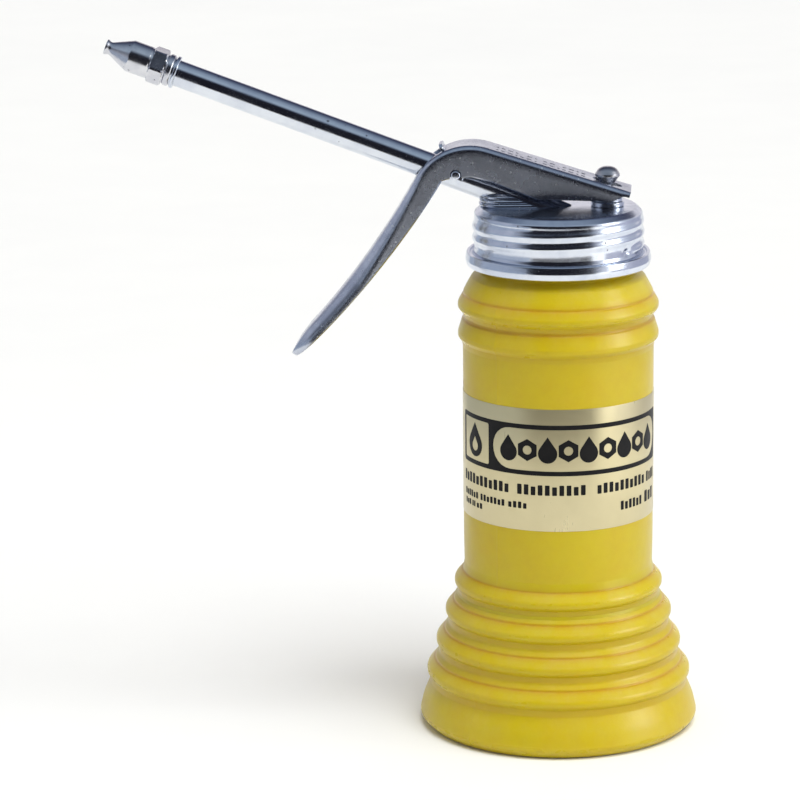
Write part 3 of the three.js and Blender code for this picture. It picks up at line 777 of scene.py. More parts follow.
@dataclass(frozen=True)
class Matte:
    """A dull material such as ink, rubber, leather or cast nylon, with grain and rubbed edges."""

    name: str
    colour: Colour
    patch: Colour
    rub: Colour
    roughness: float
    grain_scale: float
    grain_depth: float
    mottle_scale: float = 150.0
    shine: float = 0.5

    def material(self) -> bpy.types.Material:
        """Builds the nodes.

        Returns:
            The material.
        """
        material, n, shader = new_material(self.name)
        shader.inputs["Specular IOR Level"].default_value = self.shine
        patches = EFFECTS.place(n, Effect.MOTTLE, Scale=self.mottle_scale, Contrast=0.2).outputs[0]
        wear = EFFECTS.place(n, Effect.WEAR, Width=0.06, Scale=350.0)
        grain = EFFECTS.place(n, Effect.GRAIN, Scale=self.grain_scale, Roughness=0.6).outputs[0]
        colour = n.mix(patches, rgba(self.colour), rgba(self.patch))
        colour = n.mix(wear.outputs["Edges"], colour, rgba(self.rub))
        rough = n.math("MULTIPLY_ADD", grain, 0.2, self.roughness - 0.1)
        n.tree.links.new(colour, shader.inputs["Base Color"])
        n.tree.links.new(rough, shader.inputs["Roughness"])
        link_bump(n, shader, grain, 0.7, self.grain_depth)
        return material


SPOUT_TURN = (0.0, math.radians(20.3), 0.0)
# The third colour is painted shade, laid in the bottle's creases.
YELLOW = MouldedPlastic("golden_plastic", (0.53, 0.42, 0.004), (0.52, 0.365, 0.003), (0.45, 0.205, 0.003))
GOLD = Foil("gold_foil", (0.66, 0.585, 0.36), (0.60, 0.53, 0.32))
INK = Matte(
    "black_ink", (0.008, 0.008, 0.009), (0.014, 0.013, 0.013), (0.008, 0.008, 0.009),
    roughness=0.42, grain_scale=1500.0, grain_depth=3e-6, shine=0.12,
)
BRIGHT = Plating(
    "bright_zinc", (0.72, 0.76, 0.84), (0.60, 0.65, 0.75), (0.90, 0.92, 0.95), 0.15, 0.25,
    stretch=(700.0, 700.0, 2600.0), line_depth=1.2e-6, speck_share=0.06, dust=0.04,
)
PIPE = Plating(
    "drawn_zinc", (0.74, 0.78, 0.84), (0.64, 0.68, 0.76), (0.9, 0.91, 0.93), 0.12, 0.20,
    stretch=(60.0, 2600.0, 2600.0), turn=SPOUT_TURN, line_depth=1.6e-6, speck_share=0.08, dust=0.03,
)
NOZZLE = Plating(
    "turned_zinc", (0.72, 0.73, 0.76), (0.60, 0.61, 0.66), (0.92, 0.92, 0.92), 0.17, 0.27,
    stretch=(2600.0, 90.0, 90.0), turn=SPOUT_TURN, line_depth=3e-6, dust=0.03,
)
STAMPED = Plating(
    "stamped_zinc", (0.62, 0.66, 0.74), (0.44, 0.47, 0.56), (0.72, 0.76, 0.83), 0.19, 0.30,
    mottle_scale=110.0, contrast=0.24, line_depth=2.5e-6, speck_scale=1100.0, speck_share=0.3,
    speck=(0.78, 0.80, 0.84), dust=0.05,
)
ROD_STEEL = Plating("rod_steel", (0.62, 0.62, 0.63), (0.45, 0.45, 0.48), (0.88, 0.88, 0.88), 0.18, 0.3)
BRASS = Plating(
    "pump_brass", (0.78, 0.57, 0.25), (0.60, 0.40, 0.16), (0.93, 0.78, 0.45), 0.24, 0.38,
    stretch=(500.0, 500.0, 2600.0), speck=(0.25, 0.15, 0.06),
)
COIL = Plating("spring_steel", (0.50, 0.51, 0.54), (0.36, 0.37, 0.40), (0.8, 0.8, 0.82), 0.24, 0.36)
RUBBER = Matte(
    "seal_rubber", (0.018, 0.018, 0.019), (0.030, 0.029, 0.028), (0.09, 0.09, 0.09),
    roughness=0.72, grain_scale=2200.0, grain_depth=2e-5,
)
LEATHER = Matte(
    "cup_leather", (0.16, 0.075, 0.03), (0.10, 0.045, 0.018), (0.32, 0.18, 0.09),
    roughness=0.7, grain_scale=900.0, grain_depth=6e-5,
)
NYLON = Matte(
    "pickup_nylon", (0.70, 0.67, 0.56), (0.62, 0.58, 0.46), (0.8, 0.79, 0.72),
    roughness=0.45, grain_scale=1300.0, grain_depth=1e-5,
)


# ---------------------------------------------------------------- bottle


@dataclass(frozen=True)
class CreaseShade:
    """Where painted shade in the creases is strongest: how strong, how far above a mark and how wide."""

    share: float
    above: float
    width: float

    def at(self, z: float) -> float:
        """How strong the painted shade is at a height over the mark."""
        return self.share * bump(z - self.above, self.width)


@dataclass
class Bottle:
    """The blow-moulded bottle: a stepped foot, a straight body, two collar beads and a threaded neck."""

    body_radius: float = 22.9
    ring_radius: float = 31.95
    ring_fall: float = 2.283
    ring_height: float = 13.4
    ring_pitch: float = 7.47
    ring_count: int = 4
    collar: tuple[float, float] = (97.1, 104.2)
    collar_tops: tuple[float, float] = (101.0, 106.8)
    collar_radius: float = 23.95
    neck_radius: float = 18.3
    shoulder: float = 113.7
    mouth: float = 124.7
    thread: tuple[float, float] = (114.0, 123.5)
    thread_start: float = 115.2
    thread_pitch: float = 2.8
    thread_depth: float = 0.7
    thread_width: float = 0.6
    thread_run_out: float = 0.8
    wall: float = 1.3
    parting: float = math.radians(-127.0)
    parting_height: float = 0.045
    parting_width: float = 0.3
    sides: int = 176
    # These four set where painted shade darkens the creases of the shoulder, foot rings and collar beads.
    shoulder_shade: CreaseShade = CreaseShade(0.35, 113.2, 1.0)
    ring_shades: tuple[CreaseShade, CreaseShade] = (CreaseShade(0.95, 2.55, 0.42), CreaseShade(0.5, -2.5, 0.9))
    collar_top_shade: CreaseShade = CreaseShade(0.9, 0.0, 0.55)
    collar_low_shade: CreaseShade = CreaseShade(0.3, -2.0, 0.7)

    def outside(self) -> list[Corner]:
        """The outside from the middle of the base up to the mouth.

        Returns:
            Its corners, as radius, height and rounding.
        """
        line: list[Corner] = [(0.0, 1.3, 0), (27.6, 1.3, 0.8), (28.8, 0.0, 0.5), (31.7, 0.0, 1.6)]
        line += [(33.9, 2.2, 1.6), (33.0, 6.1, 12.0)]
        for i in range(self.ring_count):
            r, z = self.ring_radius - i * self.ring_fall, self.ring_height + i * self.ring_pitch
            line += [(r - 0.62, z - 3.4, 1.2), (r - 0.54, z - 1.75, 0.4), (r + 0.10, z - 0.9, 1.0)]
            line += [(r + 0.12, z + 0.35, 1.7), (r - 1.5, z + 2.2, 0.35), (r - 1.92, z + 2.5, 0.35)]
            line += [(r - 2.02, z + 3.0, 0.6)]
        body = self.body_radius
        line += [(body - 0.1, 40.4, 3.0), (body, 46.0, 3.0), (body, 94.0, 1.0)]
        for z, top in zip(self.collar, self.collar_tops):
            line += [(self.collar_radius - 0.75, z - 1.7, 0.35), (self.collar_radius + 0.1, z - 0.7, 0.9)]
            line += [(self.collar_radius + 0.1, z + 0.4, 1.5), (body + 0.2, top - 0.5, 0.4)]
            line += [(body - 0.15, top - 0.1, 0.4), (body - 0.2, top + 0.5, 0.5)]
        line += [(22.1, 108.5, 2.5), (20.8, 110.8, 1.6), (18.9, 112.5, 0.8)]
        neck, mouth = self.neck_radius, self.mouth
        return [*line, (neck, 113.6, 0.5), (neck, mouth - 0.4, 0.4), (neck - 0.4, mouth, 0.2)]

    def inside(self) -> list[Corner]:
        """The inside from the mouth down to the middle of the floor.

        Returns:
            Its corners, as radius, height and rounding.
        """
        neck = self.neck_radius - self.wall
        body = self.body_radius - self.wall
        return [
            (neck, self.mouth, 0.3), (neck, 112.2, 1.5), (body - 1.4, 108.2, 2.0), (body, 104.8, 2.0),
            (body, 44.0, 6.0), (29.2, 15.0, 6.0), (31.6, 5.0, 3.0), (30.0, 3.1, 1.5), (0.0, 3.1, 0),
        ]

    def radius(self, r: float, z: float, angle: float) -> float:
        """The outside radius, with the neck's thread and the mould's parting line.

        Args:
            r: the profile's radius.
            z: the height.
            angle: the angle round the axis.

        Returns:
            The radius at that point.
        """
        off = (angle - self.parting + math.pi / 2) % math.pi - math.pi / 2
        r += self.parting_height * bump(off * r, self.parting_width)
        low, high = self.thread
        if abs(r - self.neck_radius) < 0.2 and low < z < high:
            turn = (z - self.thread_start) / self.thread_pitch - (angle % TAU) / TAU
            fade = min(1.0, (z - low) / self.thread_run_out, (high - z) / self.thread_run_out)
            away = (turn - round(turn)) * self.thread_pitch
            r += self.thread_depth * fade * bump(away, self.thread_width)
        return r

    def painted_shade_share(self, z: float) -> float:
        """How much painted shade a height gets from the creases near it.

        Args:
            z: the height.

        Returns:
            A share from 0 on open wall to 1 deep in the creases.
        """
        share = self.shoulder_shade.at(z)
        for i in range(self.ring_count):
            ring = self.ring_height + i * self.ring_pitch
            share += sum(crease_shade.at(z - ring) for crease_shade in self.ring_shades)
        for low, top in zip(self.collar, self.collar_tops):
            share += self.collar_top_shade.at(z - top) + self.collar_low_shade.at(z - low)
        return min(1.0, share)

    def on_neck(self, point: Point) -> bool:
        """Whether a point of the outside lies on the neck's straight wall."""
        return abs(point[0] - self.neck_radius) < 0.05 and point[1] > self.shoulder

    def build(self) -> None:
        """Builds the bottle, with painted shade for its creases stored on its points for the plastic."""
        even = [TAU * k / self.sides for k in range(self.sides)]
        extra = [self.parting + side * math.pi + k * 0.004 for side in (0, 1) for k in range(-5, 6)]
        angles = sorted(set(round(a % TAU, 5) for a in even + extra))
        outside = spaced(rounded(self.outside(), 6), 1.6)
        neck = [p for p in spaced(outside, 0.3) if self.on_neck(p)]
        lower = [p for p in outside if not self.on_neck(p) and p[1] < self.thread[0]]
        upper = [p for p in outside if not self.on_neck(p) and p[1] >= self.thread[0]]
        shell = Shell().turned(lower + neck + upper, 0, self.radius, angles)
        shell.turned([upper[-1], *rounded(self.inside(), 4)], 0, None, angles)
        obj = shell.piece("bottle_shell")
        # Painted shade for the creases, stored on each point for the plastic's colour.
        painted_crease_shade = obj.data.attributes.new(MouldedPlastic.PAINTED_CREASE_SHADE, "FLOAT", "POINT")
        painted_crease_shade.data.foreach_set("value", [self.painted_shade_share(v.co.z / MM) for v in obj.data.vertices])
        mount(obj, Body.BOTTLE, Slot.BOTTLE, YELLOW.material(), "bottle")


@dataclass
class Label:
    """The foil band round the bottle and its printing, all of it plain shapes."""

    radius: float = 22.9
    low: float = 53.5
    high: float = 83.2
    thickness: float = 0.09
    bevel: float = 0.05
    lap: float = 0.12
    lap_lift: float = 0.11
    sides: int = 180
    ink: float = 0.03
    ink_gap: float = 0.004
    facing: float = math.radians(-85.5)
    seam: float = math.radians(94.5)
    step: float = 0.6

    def band(self) -> bpy.types.Object:
        """The foil, wrapped once with its end lapped over its start.

        Returns:
            The piece.
        """
        outer, sides, lap = self.radius + self.thickness, self.sides, self.lap
        low, high, edge = self.low, self.high, self.bevel
        rows = []
        for k in range(sides + 1):
            a = self.seam - lap / 2 + (TAU + lap) * k / sides
            lift = self.lap_lift * max(0.0, 1 - (TAU + lap) * (sides - k) / sides / lap / 1.4)
            ring = [(self.radius + lift, low), (self.radius + lift, high)]
            ring += [(outer + lift - 0.4 * edge, high), (outer + lift, high - edge)]
            ring += [(outer + lift, low + edge), (outer + lift - 0.4 * edge, low)]
            rows.append([(r * math.cos(a), r * math.sin(a), z) for r, z in ring])
        return Shell().solid(rows).piece("label_foil_band")

    def drop(self, u: float, z: float, size: float) -> list[Point]:
        """An oil drop's outline: round below and pointed above.

        Args:
            u: its middle along the band.
            z: its middle's height.
            size: how tall it is.

        Returns:
            The outline.
        """
        r = 0.36 * size
        tip, low = (u, z + size / 2), (u, z - size / 2 + r)
        flank = math.degrees(math.asin(r / (tip[1] - low[1])))
        arc = [polar(low, r, 180 - flank + (180 + 2 * flank) * k / 18) for k in range(19)]
        return [tip, *arc]

    def hexagon(self, u: float, z: float, size: float) -> list[Point]:
        """A nut's outline."""
        return [polar((u, z), size / 2, 60 * k + 30) for k in range(6)]

    def disc(self, u: float, z: float, size: float) -> list[Point]:
        """A round hole's outline."""
        return [polar((u, z), size / 2, 22.5 * k) for k in range(16)]

    def bar(self, left: float, right: float, low: float, high: float, corner: float) -> list[Point]:
        """A rectangle with round corners.

        Args:
            left: its left side.
            right: its right side.
            low: its foot.
            high: its top.
            corner: the rounding, made smaller where there is no room for it.

        Returns:
            The outline.
        """
        r = min(corner, (right - left) / 2 - 1e-3, (high - low) / 2 - 1e-3)
        out: list[Point] = []
        for x, z, start in ((right - r, high - r, 0), (left + r, high - r, 90), (left + r, low + r, 180)):
            out += [polar((x, z), r, start + 15 * k) for k in range(7)]
        return out + [polar((right - r, low + r), r, 270 + 15 * k) for k in range(7)]

    def words(
        self, left: float, right: float, low: float, high: float, lengths: Sequence[float]
    ) -> list[list[Point]]:
        """A row of upright strokes in groups, which stands for small print without any letters.

        Args:
            left: where the row starts.
            right: where it ends.
            low: its foot.
            high: its top.
            lengths: the share of the row that each group and each space between takes.

        Returns:
            The strokes' outlines.
        """
        scale, at, shapes = (right - left) / sum(lengths), left, []
        for i, length in enumerate(lengths):
            if i % 2 == 0:
                count = max(1, round(length * scale / (0.52 * (high - low) + 0.35)))
                pitch = length * scale / count
                for k in range(count):
                    dip = 0.16 * (high - low) * ((i + k) % 3 == 1)
                    shapes.append(self.bar(at + k * pitch, at + (k + 0.66) * pitch, low, high - dip, 0.18))
            at += length * scale
        return shapes

    def artwork(self) -> list[list[Point]]:
        """All the printed shapes.

        Returns:
            Their outlines; one inside another is a hole in it.
        """
        shapes = [self.bar(-31.4, 32.0, 67.1, 79.4, 0.8)]
        shapes.append(self.bar(-30.3, -19.4, 68.2, 78.3, 0.5))
        shapes.append(self.bar(-17.9, 30.9, 68.2, 78.3, 5.0))
        shapes.append(self.drop(-24.9, 73.3, 8.4))
        shapes.append(self.drop(-24.9, 72.3, 3.6))
        first, pitch, count = -13.4, 4.95, 9
        for k in range(count):
            u = first + pitch * k
            if k % 2:
                shapes += [self.hexagon(u, 73.2, 5.4), self.disc(u, 73.2, 2.2)]
            else:
                shapes.append(self.drop(u, 73.35, 6.4))
        shapes += self.words(-31.0, 31.6, 62.3, 64.8, (9, 0.9, 8.5, 1.2, 8, 0.4, 3))
        shapes += self.words(-30.6, -8.2, 58.8, 60.4, (7, 0.7, 8, 0.7, 5))
        shapes += self.words(-30.4, -21.5, 56.6, 58.0, (4, 0.5, 2, 0.5, 3))
        shapes += self.words(15.2, 23.6, 57.4, 59.6, (5, 0.1))
        shapes += self.words(24.6, 31.0, 57.4, 60.2, (3, 0.1))
        return shapes

    def printing(self) -> bpy.types.Object:
        """The ink, as thin solids wrapped on the foil.

        Returns:
            The piece.
        """
        made = bmesh.new()
        edges = []
        for outline in self.artwork():
            ring = [made.verts.new((u, z, 0.0)) for u, z in outline]
            edges += [made.edges.new((a, b)) for a, b in zip(ring, ring[1:] + ring[:1])]
        bmesh.ops.triangle_fill(made, edges=edges, use_beauty=True)
        reach = round(32.4 / self.step)
        for k in range(-reach, reach + 1):
            geometry = made.verts[:] + made.edges[:] + made.faces[:]
            bmesh.ops.bisect_plane(made, geom=geometry, plane_co=(k * self.step, 0, 0), plane_no=(1, 0, 0))
        raised = bmesh.ops.extrude_face_region(made, geom=made.faces[:], use_keep_orig=True)
        for item in raised["geom"]:
            if isinstance(item, bmesh.types.BMVert):
                item.co.z = self.ink
        base = self.radius + self.thickness + self.ink_gap
        for vert in made.verts:
            a = self.facing + vert.co.x / base
            r = base + vert.co.z
            vert.co = Vector((r * math.cos(a), r * math.sin(a), vert.co.y)) * MM
        bmesh.ops.recalc_face_normals(made, faces=made.faces)
        points, faces = in_order(made)
        made.free()
        mesh = bpy.data.meshes.new("label_printing")
        mesh.from_pydata(points, [], faces)
        obj = bpy.data.objects.new("label_printing", mesh)
        bpy.context.scene.collection.objects.link(obj)
        smooth(obj, 30.0)
        return obj

    def build(self) -> None:
        """Builds the band and its printing."""
        mount(self.band(), Body.BOTTLE, Slot.LABEL, GOLD.material(), "label_band")
        mount(self.printing(), Body.BOTTLE, Slot.LABEL, INK.material())


# ---------------------------------------------------------------- cap


@dataclass
class ScrewCap:
    """The pressed cap: a flat top, a rolled thread round its skirt and a curled rim."""

    skirt: float = 20.2
    sheet: float = 0.8
    thread_pitch: float = 2.8
    thread_swell: float = 0.52
    thread_width: float = 0.95
    thread_start: float = math.radians(-29.0)
    thread_low: float = 118.67
    thread_high: float = 125.0
    thread_turns: int = 3
    rolled: tuple[float, float] = (117.2, 126.6)
    dent_depth: float = 0.55
    dent_turn: float = 0.09
    rim_low: float = 113.56
    top: float = 127.8
    sides: int = 240

    def line(self) -> list[Corner]:
        """The section, from the middle of the top down the skirt, round the rim and back inside.

        Returns:
            Its corners, as radius, height and rounding.
        """
        low, top, skirt = self.rim_low, self.top, self.skirt
        return [
            (0.0, top, 0), (14.0, top, 0), (18.6, top - 0.05, 1.0), (skirt, top - 1.5, 1.7),
            (skirt, 125.0, 1.0), (skirt, 118.0, 0.5), (skirt + 0.1, low + 2.75, 0.4),
            (skirt + 0.85, low + 2.6, 0.3), (skirt + 1.0, low + 3.45, 0.35), (skirt + 1.65, low + 3.5, 0.55),
            (skirt + 1.99, low + 1.7, 1.6),
            (skirt + 1.55, low, 0.8), (skirt + 0.2, low, 0.5), (skirt - 0.2, low + 1.2, 0.4),
            (skirt - self.sheet, low + 2.0, 0.6), (skirt - self.sheet, 125.6, 0.6),
            (skirt - self.sheet - 0.9, top - self.sheet, 0.6), (0.0, top - self.sheet, 0),
        ]

    def radius(self, r: float, z: float, angle: float) -> float:
        """The skirt's radius with its rolled thread.

        Args:
            r: the section's radius.
            z: the height.
            angle: the angle round the axis.

        Returns:
            The radius at that point.
        """
        low, high = self.rolled
        if not low < z < high or r < self.skirt - 1.2:
            return r
        since = (angle - self.thread_start) % TAU
        crest = self.thread_low + self.thread_pitch * since / TAU
        swell = 0.0
        for turn in range(self.thread_turns):
            at = crest + turn * self.thread_pitch
            start = min(1.0, (since + turn * TAU) / 0.12)
            run_out = min(1.0, max(0.0, (self.thread_high - at) / 0.7))
            swell += start * run_out * bump(z - at, self.thread_width)
        away = (angle - self.thread_start + self.dent_turn + math.pi) % TAU - math.pi
        dent = self.dent_depth * bump(away, 0.06) * bump(z - self.thread_low, 0.8)
        fade = min(1.0, (high - z) / 1.2, (z - low) / 0.6)
        return r + self.thread_swell * (swell - 0.35) * fade - dent

    def build(self) -> None:
        """Builds the cap, with close rows on the skirt and wide ones over the flat top."""
        corners = rounded(self.line(), 7)
        section = []
        for a, b in zip(corners, corners[1:]):
            section += spaced([a, b], 0.3 if a[0] > 15 else 3.0)[:-1]
        section.append((0.0, self.top - self.sheet))
        obj = Shell().turned(section, self.sides, self.radius).piece("cap_pressing", sharp=40.0)
        mount(obj, Body.HEAD, Slot.CAP, BRIGHT.material(), "cap_shell")


# ---------------------------------------------------------------- spout


@dataclass
class Spout:
    """The straight spout with its nozzle, ring, cradle on the cap and the bridge that carries the lever."""

    slope: float = math.radians(20.3)
    entry: tuple[float, float] = (-5.3, 127.8)
    radius: float = 3.175
    length: float = 99.2
    socket: float = 7.0
    collar: float = 1.8
    hexagon: float = 3.6
    hexagon_turn: float = math.radians(84)
    flats: float = 8.0
    nozzle_bore: float = 0.8
    barrel: float = 5.2
    barrel_radius: float = 3.85
    cone: float = 5.1
    neck_radius: float = 1.45
    lip: float = 1.15
    lip_radius: float = 1.85
    cradle_left: float = -18.9
    cradle_right: float = -4.0
    cradle_half: float = 5.4
    cradle_height: float = 3.2
    bridge_radius: float = 4.4
    bridge_half: float = 2.0
    pin_radius: float = 1.1
    pin_reach: float = 6.5
    pivot_along: float = 20.4
    pivot_above: float = 1.1

    def place(self) -> Matrix:
        """The spout's own frame.

        Returns:
            The frame, with Z along the spout and X across it, upwards.
        """
        s, c = math.sin(self.slope), math.cos(self.slope)
        x, z = self.entry
        return Matrix(((s, 0, -c, x), (0, 1, 0, 0), (c, 0, s, z), (0, 0, 0, 1)))

    def pipe(self) -> None:
        """The drawn tube."""
        low, high, bore = -8.0, self.length, self.radius - 0.9
        line = [(bore, low, 0), (self.radius, low, 0.3), (self.radius, high, 0.3), (bore, high, 0)]
        line.append(line[0])
        shell = Shell().turned(spaced(rounded(line, 3), 3.0)[:-1], 72, closed=True)
        mount(shell.piece("spout_pipe", self.place()), Body.HEAD, Slot.SPOUT, PIPE.material(), "spout_tube")

    def ring(self) -> None:
        """The thin ring under the nozzle."""
        high = self.length - self.socket - 0.3
        inner, outer = self.radius + 0.02, self.radius + 0.775
        line = [(inner, high - 0.9, 0), (outer, high - 0.9, 0.35), (outer, high, 0.35), (inner, high, 0)]
        shell = Shell().turned([*rounded(line, 6)], 72, closed=True)
        obj = shell.piece("spout_ring", self.place())
        mount(obj, Body.HEAD, Slot.SPOUT, BRIGHT.material(), "spout_ferrule")

    def hexed(self, r: float, z: float, angle: float) -> float:
        """The nozzle's radius, with its hexagon chamfered at both ends.

        Args:
            r: the turned radius.
            z: the place along the spout.
            angle: the angle round it.

        Returns:
            The radius at that point.
        """
        low = self.length - self.socket + self.collar
        high = low + self.hexagon
        if not low - TINY <= z <= high + TINY or r < self.barrel_radius + 0.05:
            return r
        lean = (angle - self.hexagon_turn) % (math.pi / 3) - math.pi / 6
        flat = self.flats / 2 / math.cos(lean)
        return min(r, flat)

    def nozzle(self) -> None:
        """The screwed-on nozzle: collar, hexagon, barrel, cone and lip."""
        low = self.length - self.socket
        hex_low = low + self.collar
        hex_high = hex_low + self.hexagon
        cone_low = hex_high + self.barrel
        lip_low = cone_low + self.cone
        tip = lip_low + self.lip
        r, wide, bore = self.barrel_radius, self.flats / 2 / math.cos(math.pi / 6), self.nozzle_bore
        outer = [
            (self.radius + 0.03, low, 0), (r - 0.25, low, 0.2), (r, low + 0.35, 0.3),
            (r, hex_low - 0.5, 0.25), (r - 0.35, hex_low - 0.25, 0.15), (r - 0.3, hex_low, 0),
            (r + 0.12, hex_low, 0), (wide, hex_low + 0.42, 0.1), (wide, hex_high - 0.42, 0.1),
            (r + 0.12, hex_high, 0), (r - 0.1, hex_high + 0.02, 0.05), (r - 0.1, hex_high + 0.3, 0.2),
            (r, hex_high + 0.5, 0.2), (r, cone_low, 0.5), (self.neck_radius, lip_low + 0.05, 0.8),
            (self.lip_radius, tip - 0.35, 0.25), (self.lip_radius, tip, 0.12), (bore + 0.25, tip, 0.15),
            (bore, tip - 0.4, 0.1), (bore, tip - 6.0, 0), (self.radius + 0.03, tip - 8.0, 0),
            (self.radius + 0.03, low, 0),
        ]
        line = spaced(rounded(outer, 5), 0.6)[:-1]
        shell = Shell().turned(line, 96, self.hexed, closed=True)
        obj = shell.piece("nozzle_tip_turned", self.place(), sharp=24.0)
        mount(obj, Body.HEAD, Slot.NOZZLE, NOZZLE.material(), "nozzle_tip")

    def cradle(self) -> None:
        """The ridged boss that carries the spout's underside at the cap."""
        middle = self.cradle_left + self.cradle_half
        base, high = self.entry[1] - 0.05, self.entry[1] + self.cradle_height
        levels, turns, ridges = 24, 48, 3
        rows = []
        for k in range(levels + 1):
            part = k / levels
            z = base + (high - base) * k / levels
            ridge = 0.32 * abs(math.sin(ridges * math.pi * part)) ** 0.7 - 0.3
            half = self.cradle_half + ridge - 1.3 * part**3
            row = []
            for j in range(turns + 1):
                a = math.pi / 2 + math.pi * j / turns
                row.append((middle + half * math.cos(a) - ridge * 0.1, half * math.sin(a), z))
            far = self.cradle_right - (z - base) / math.tan(self.slope) * 0.9
            row += [(far, -half * 0.92, z), (far, half * 0.92, z)]
            rows.append(row)
        obj = Shell().solid(rows).piece("spout_cradle", sharp=38.0)
        mount(obj, Body.HEAD, Slot.CAP, STAMPED.material(), "spout_saddle")

    def bridge(self) -> None:
        """The half sleeve over the spout and the two pins that the lever hooks on."""
        inner, outer, half = self.radius + 0.02, self.bridge_radius, self.bridge_half
        steps, pin_sides = 24, 32
        rows = []
        for k in range(steps + 1):
            a = -math.pi / 2 + math.pi * k / steps
            ring = [(inner, -half, 0), (outer, -half, 0.3), (outer, half, 0.3), (inner, half, 0)]
            rows.append(
                [(r * math.cos(a), r * math.sin(a), self.pivot_along + t) for r, t in rounded(ring, 3)]
            )
        shell = Shell().solid(rows)
        pin, reach, root = self.pin_radius, self.pin_reach, 3.3
        turns = [TAU * k / pin_sides for k in range(pin_sides)]
        for side in (-1, 1):
            line = rounded([(0.0, reach, 0), (pin, reach, 0.35), (pin, root, 0), (0.0, root, 0)], 4)
            rows = []
            for r, t in line:
                circle = [(r * math.cos(a), r * math.sin(a)) for a in turns]
                rows.append([(self.pivot_above + u, side * t, self.pivot_along + v) for u, v in circle])
            shell.grid(rows, around=True)
        obj = shell.piece("pivot_bridge", self.place())
        mount(obj, Body.HEAD, Slot.LEVER, BRIGHT.material(), "pivot_bracket")

    def build(self) -> None:
        """Builds the spout's pieces."""
        self.pipe()
        self.ring()
        self.nozzle()
        self.cradle()
        self.bridge()


# ---------------------------------------------------------------- lever


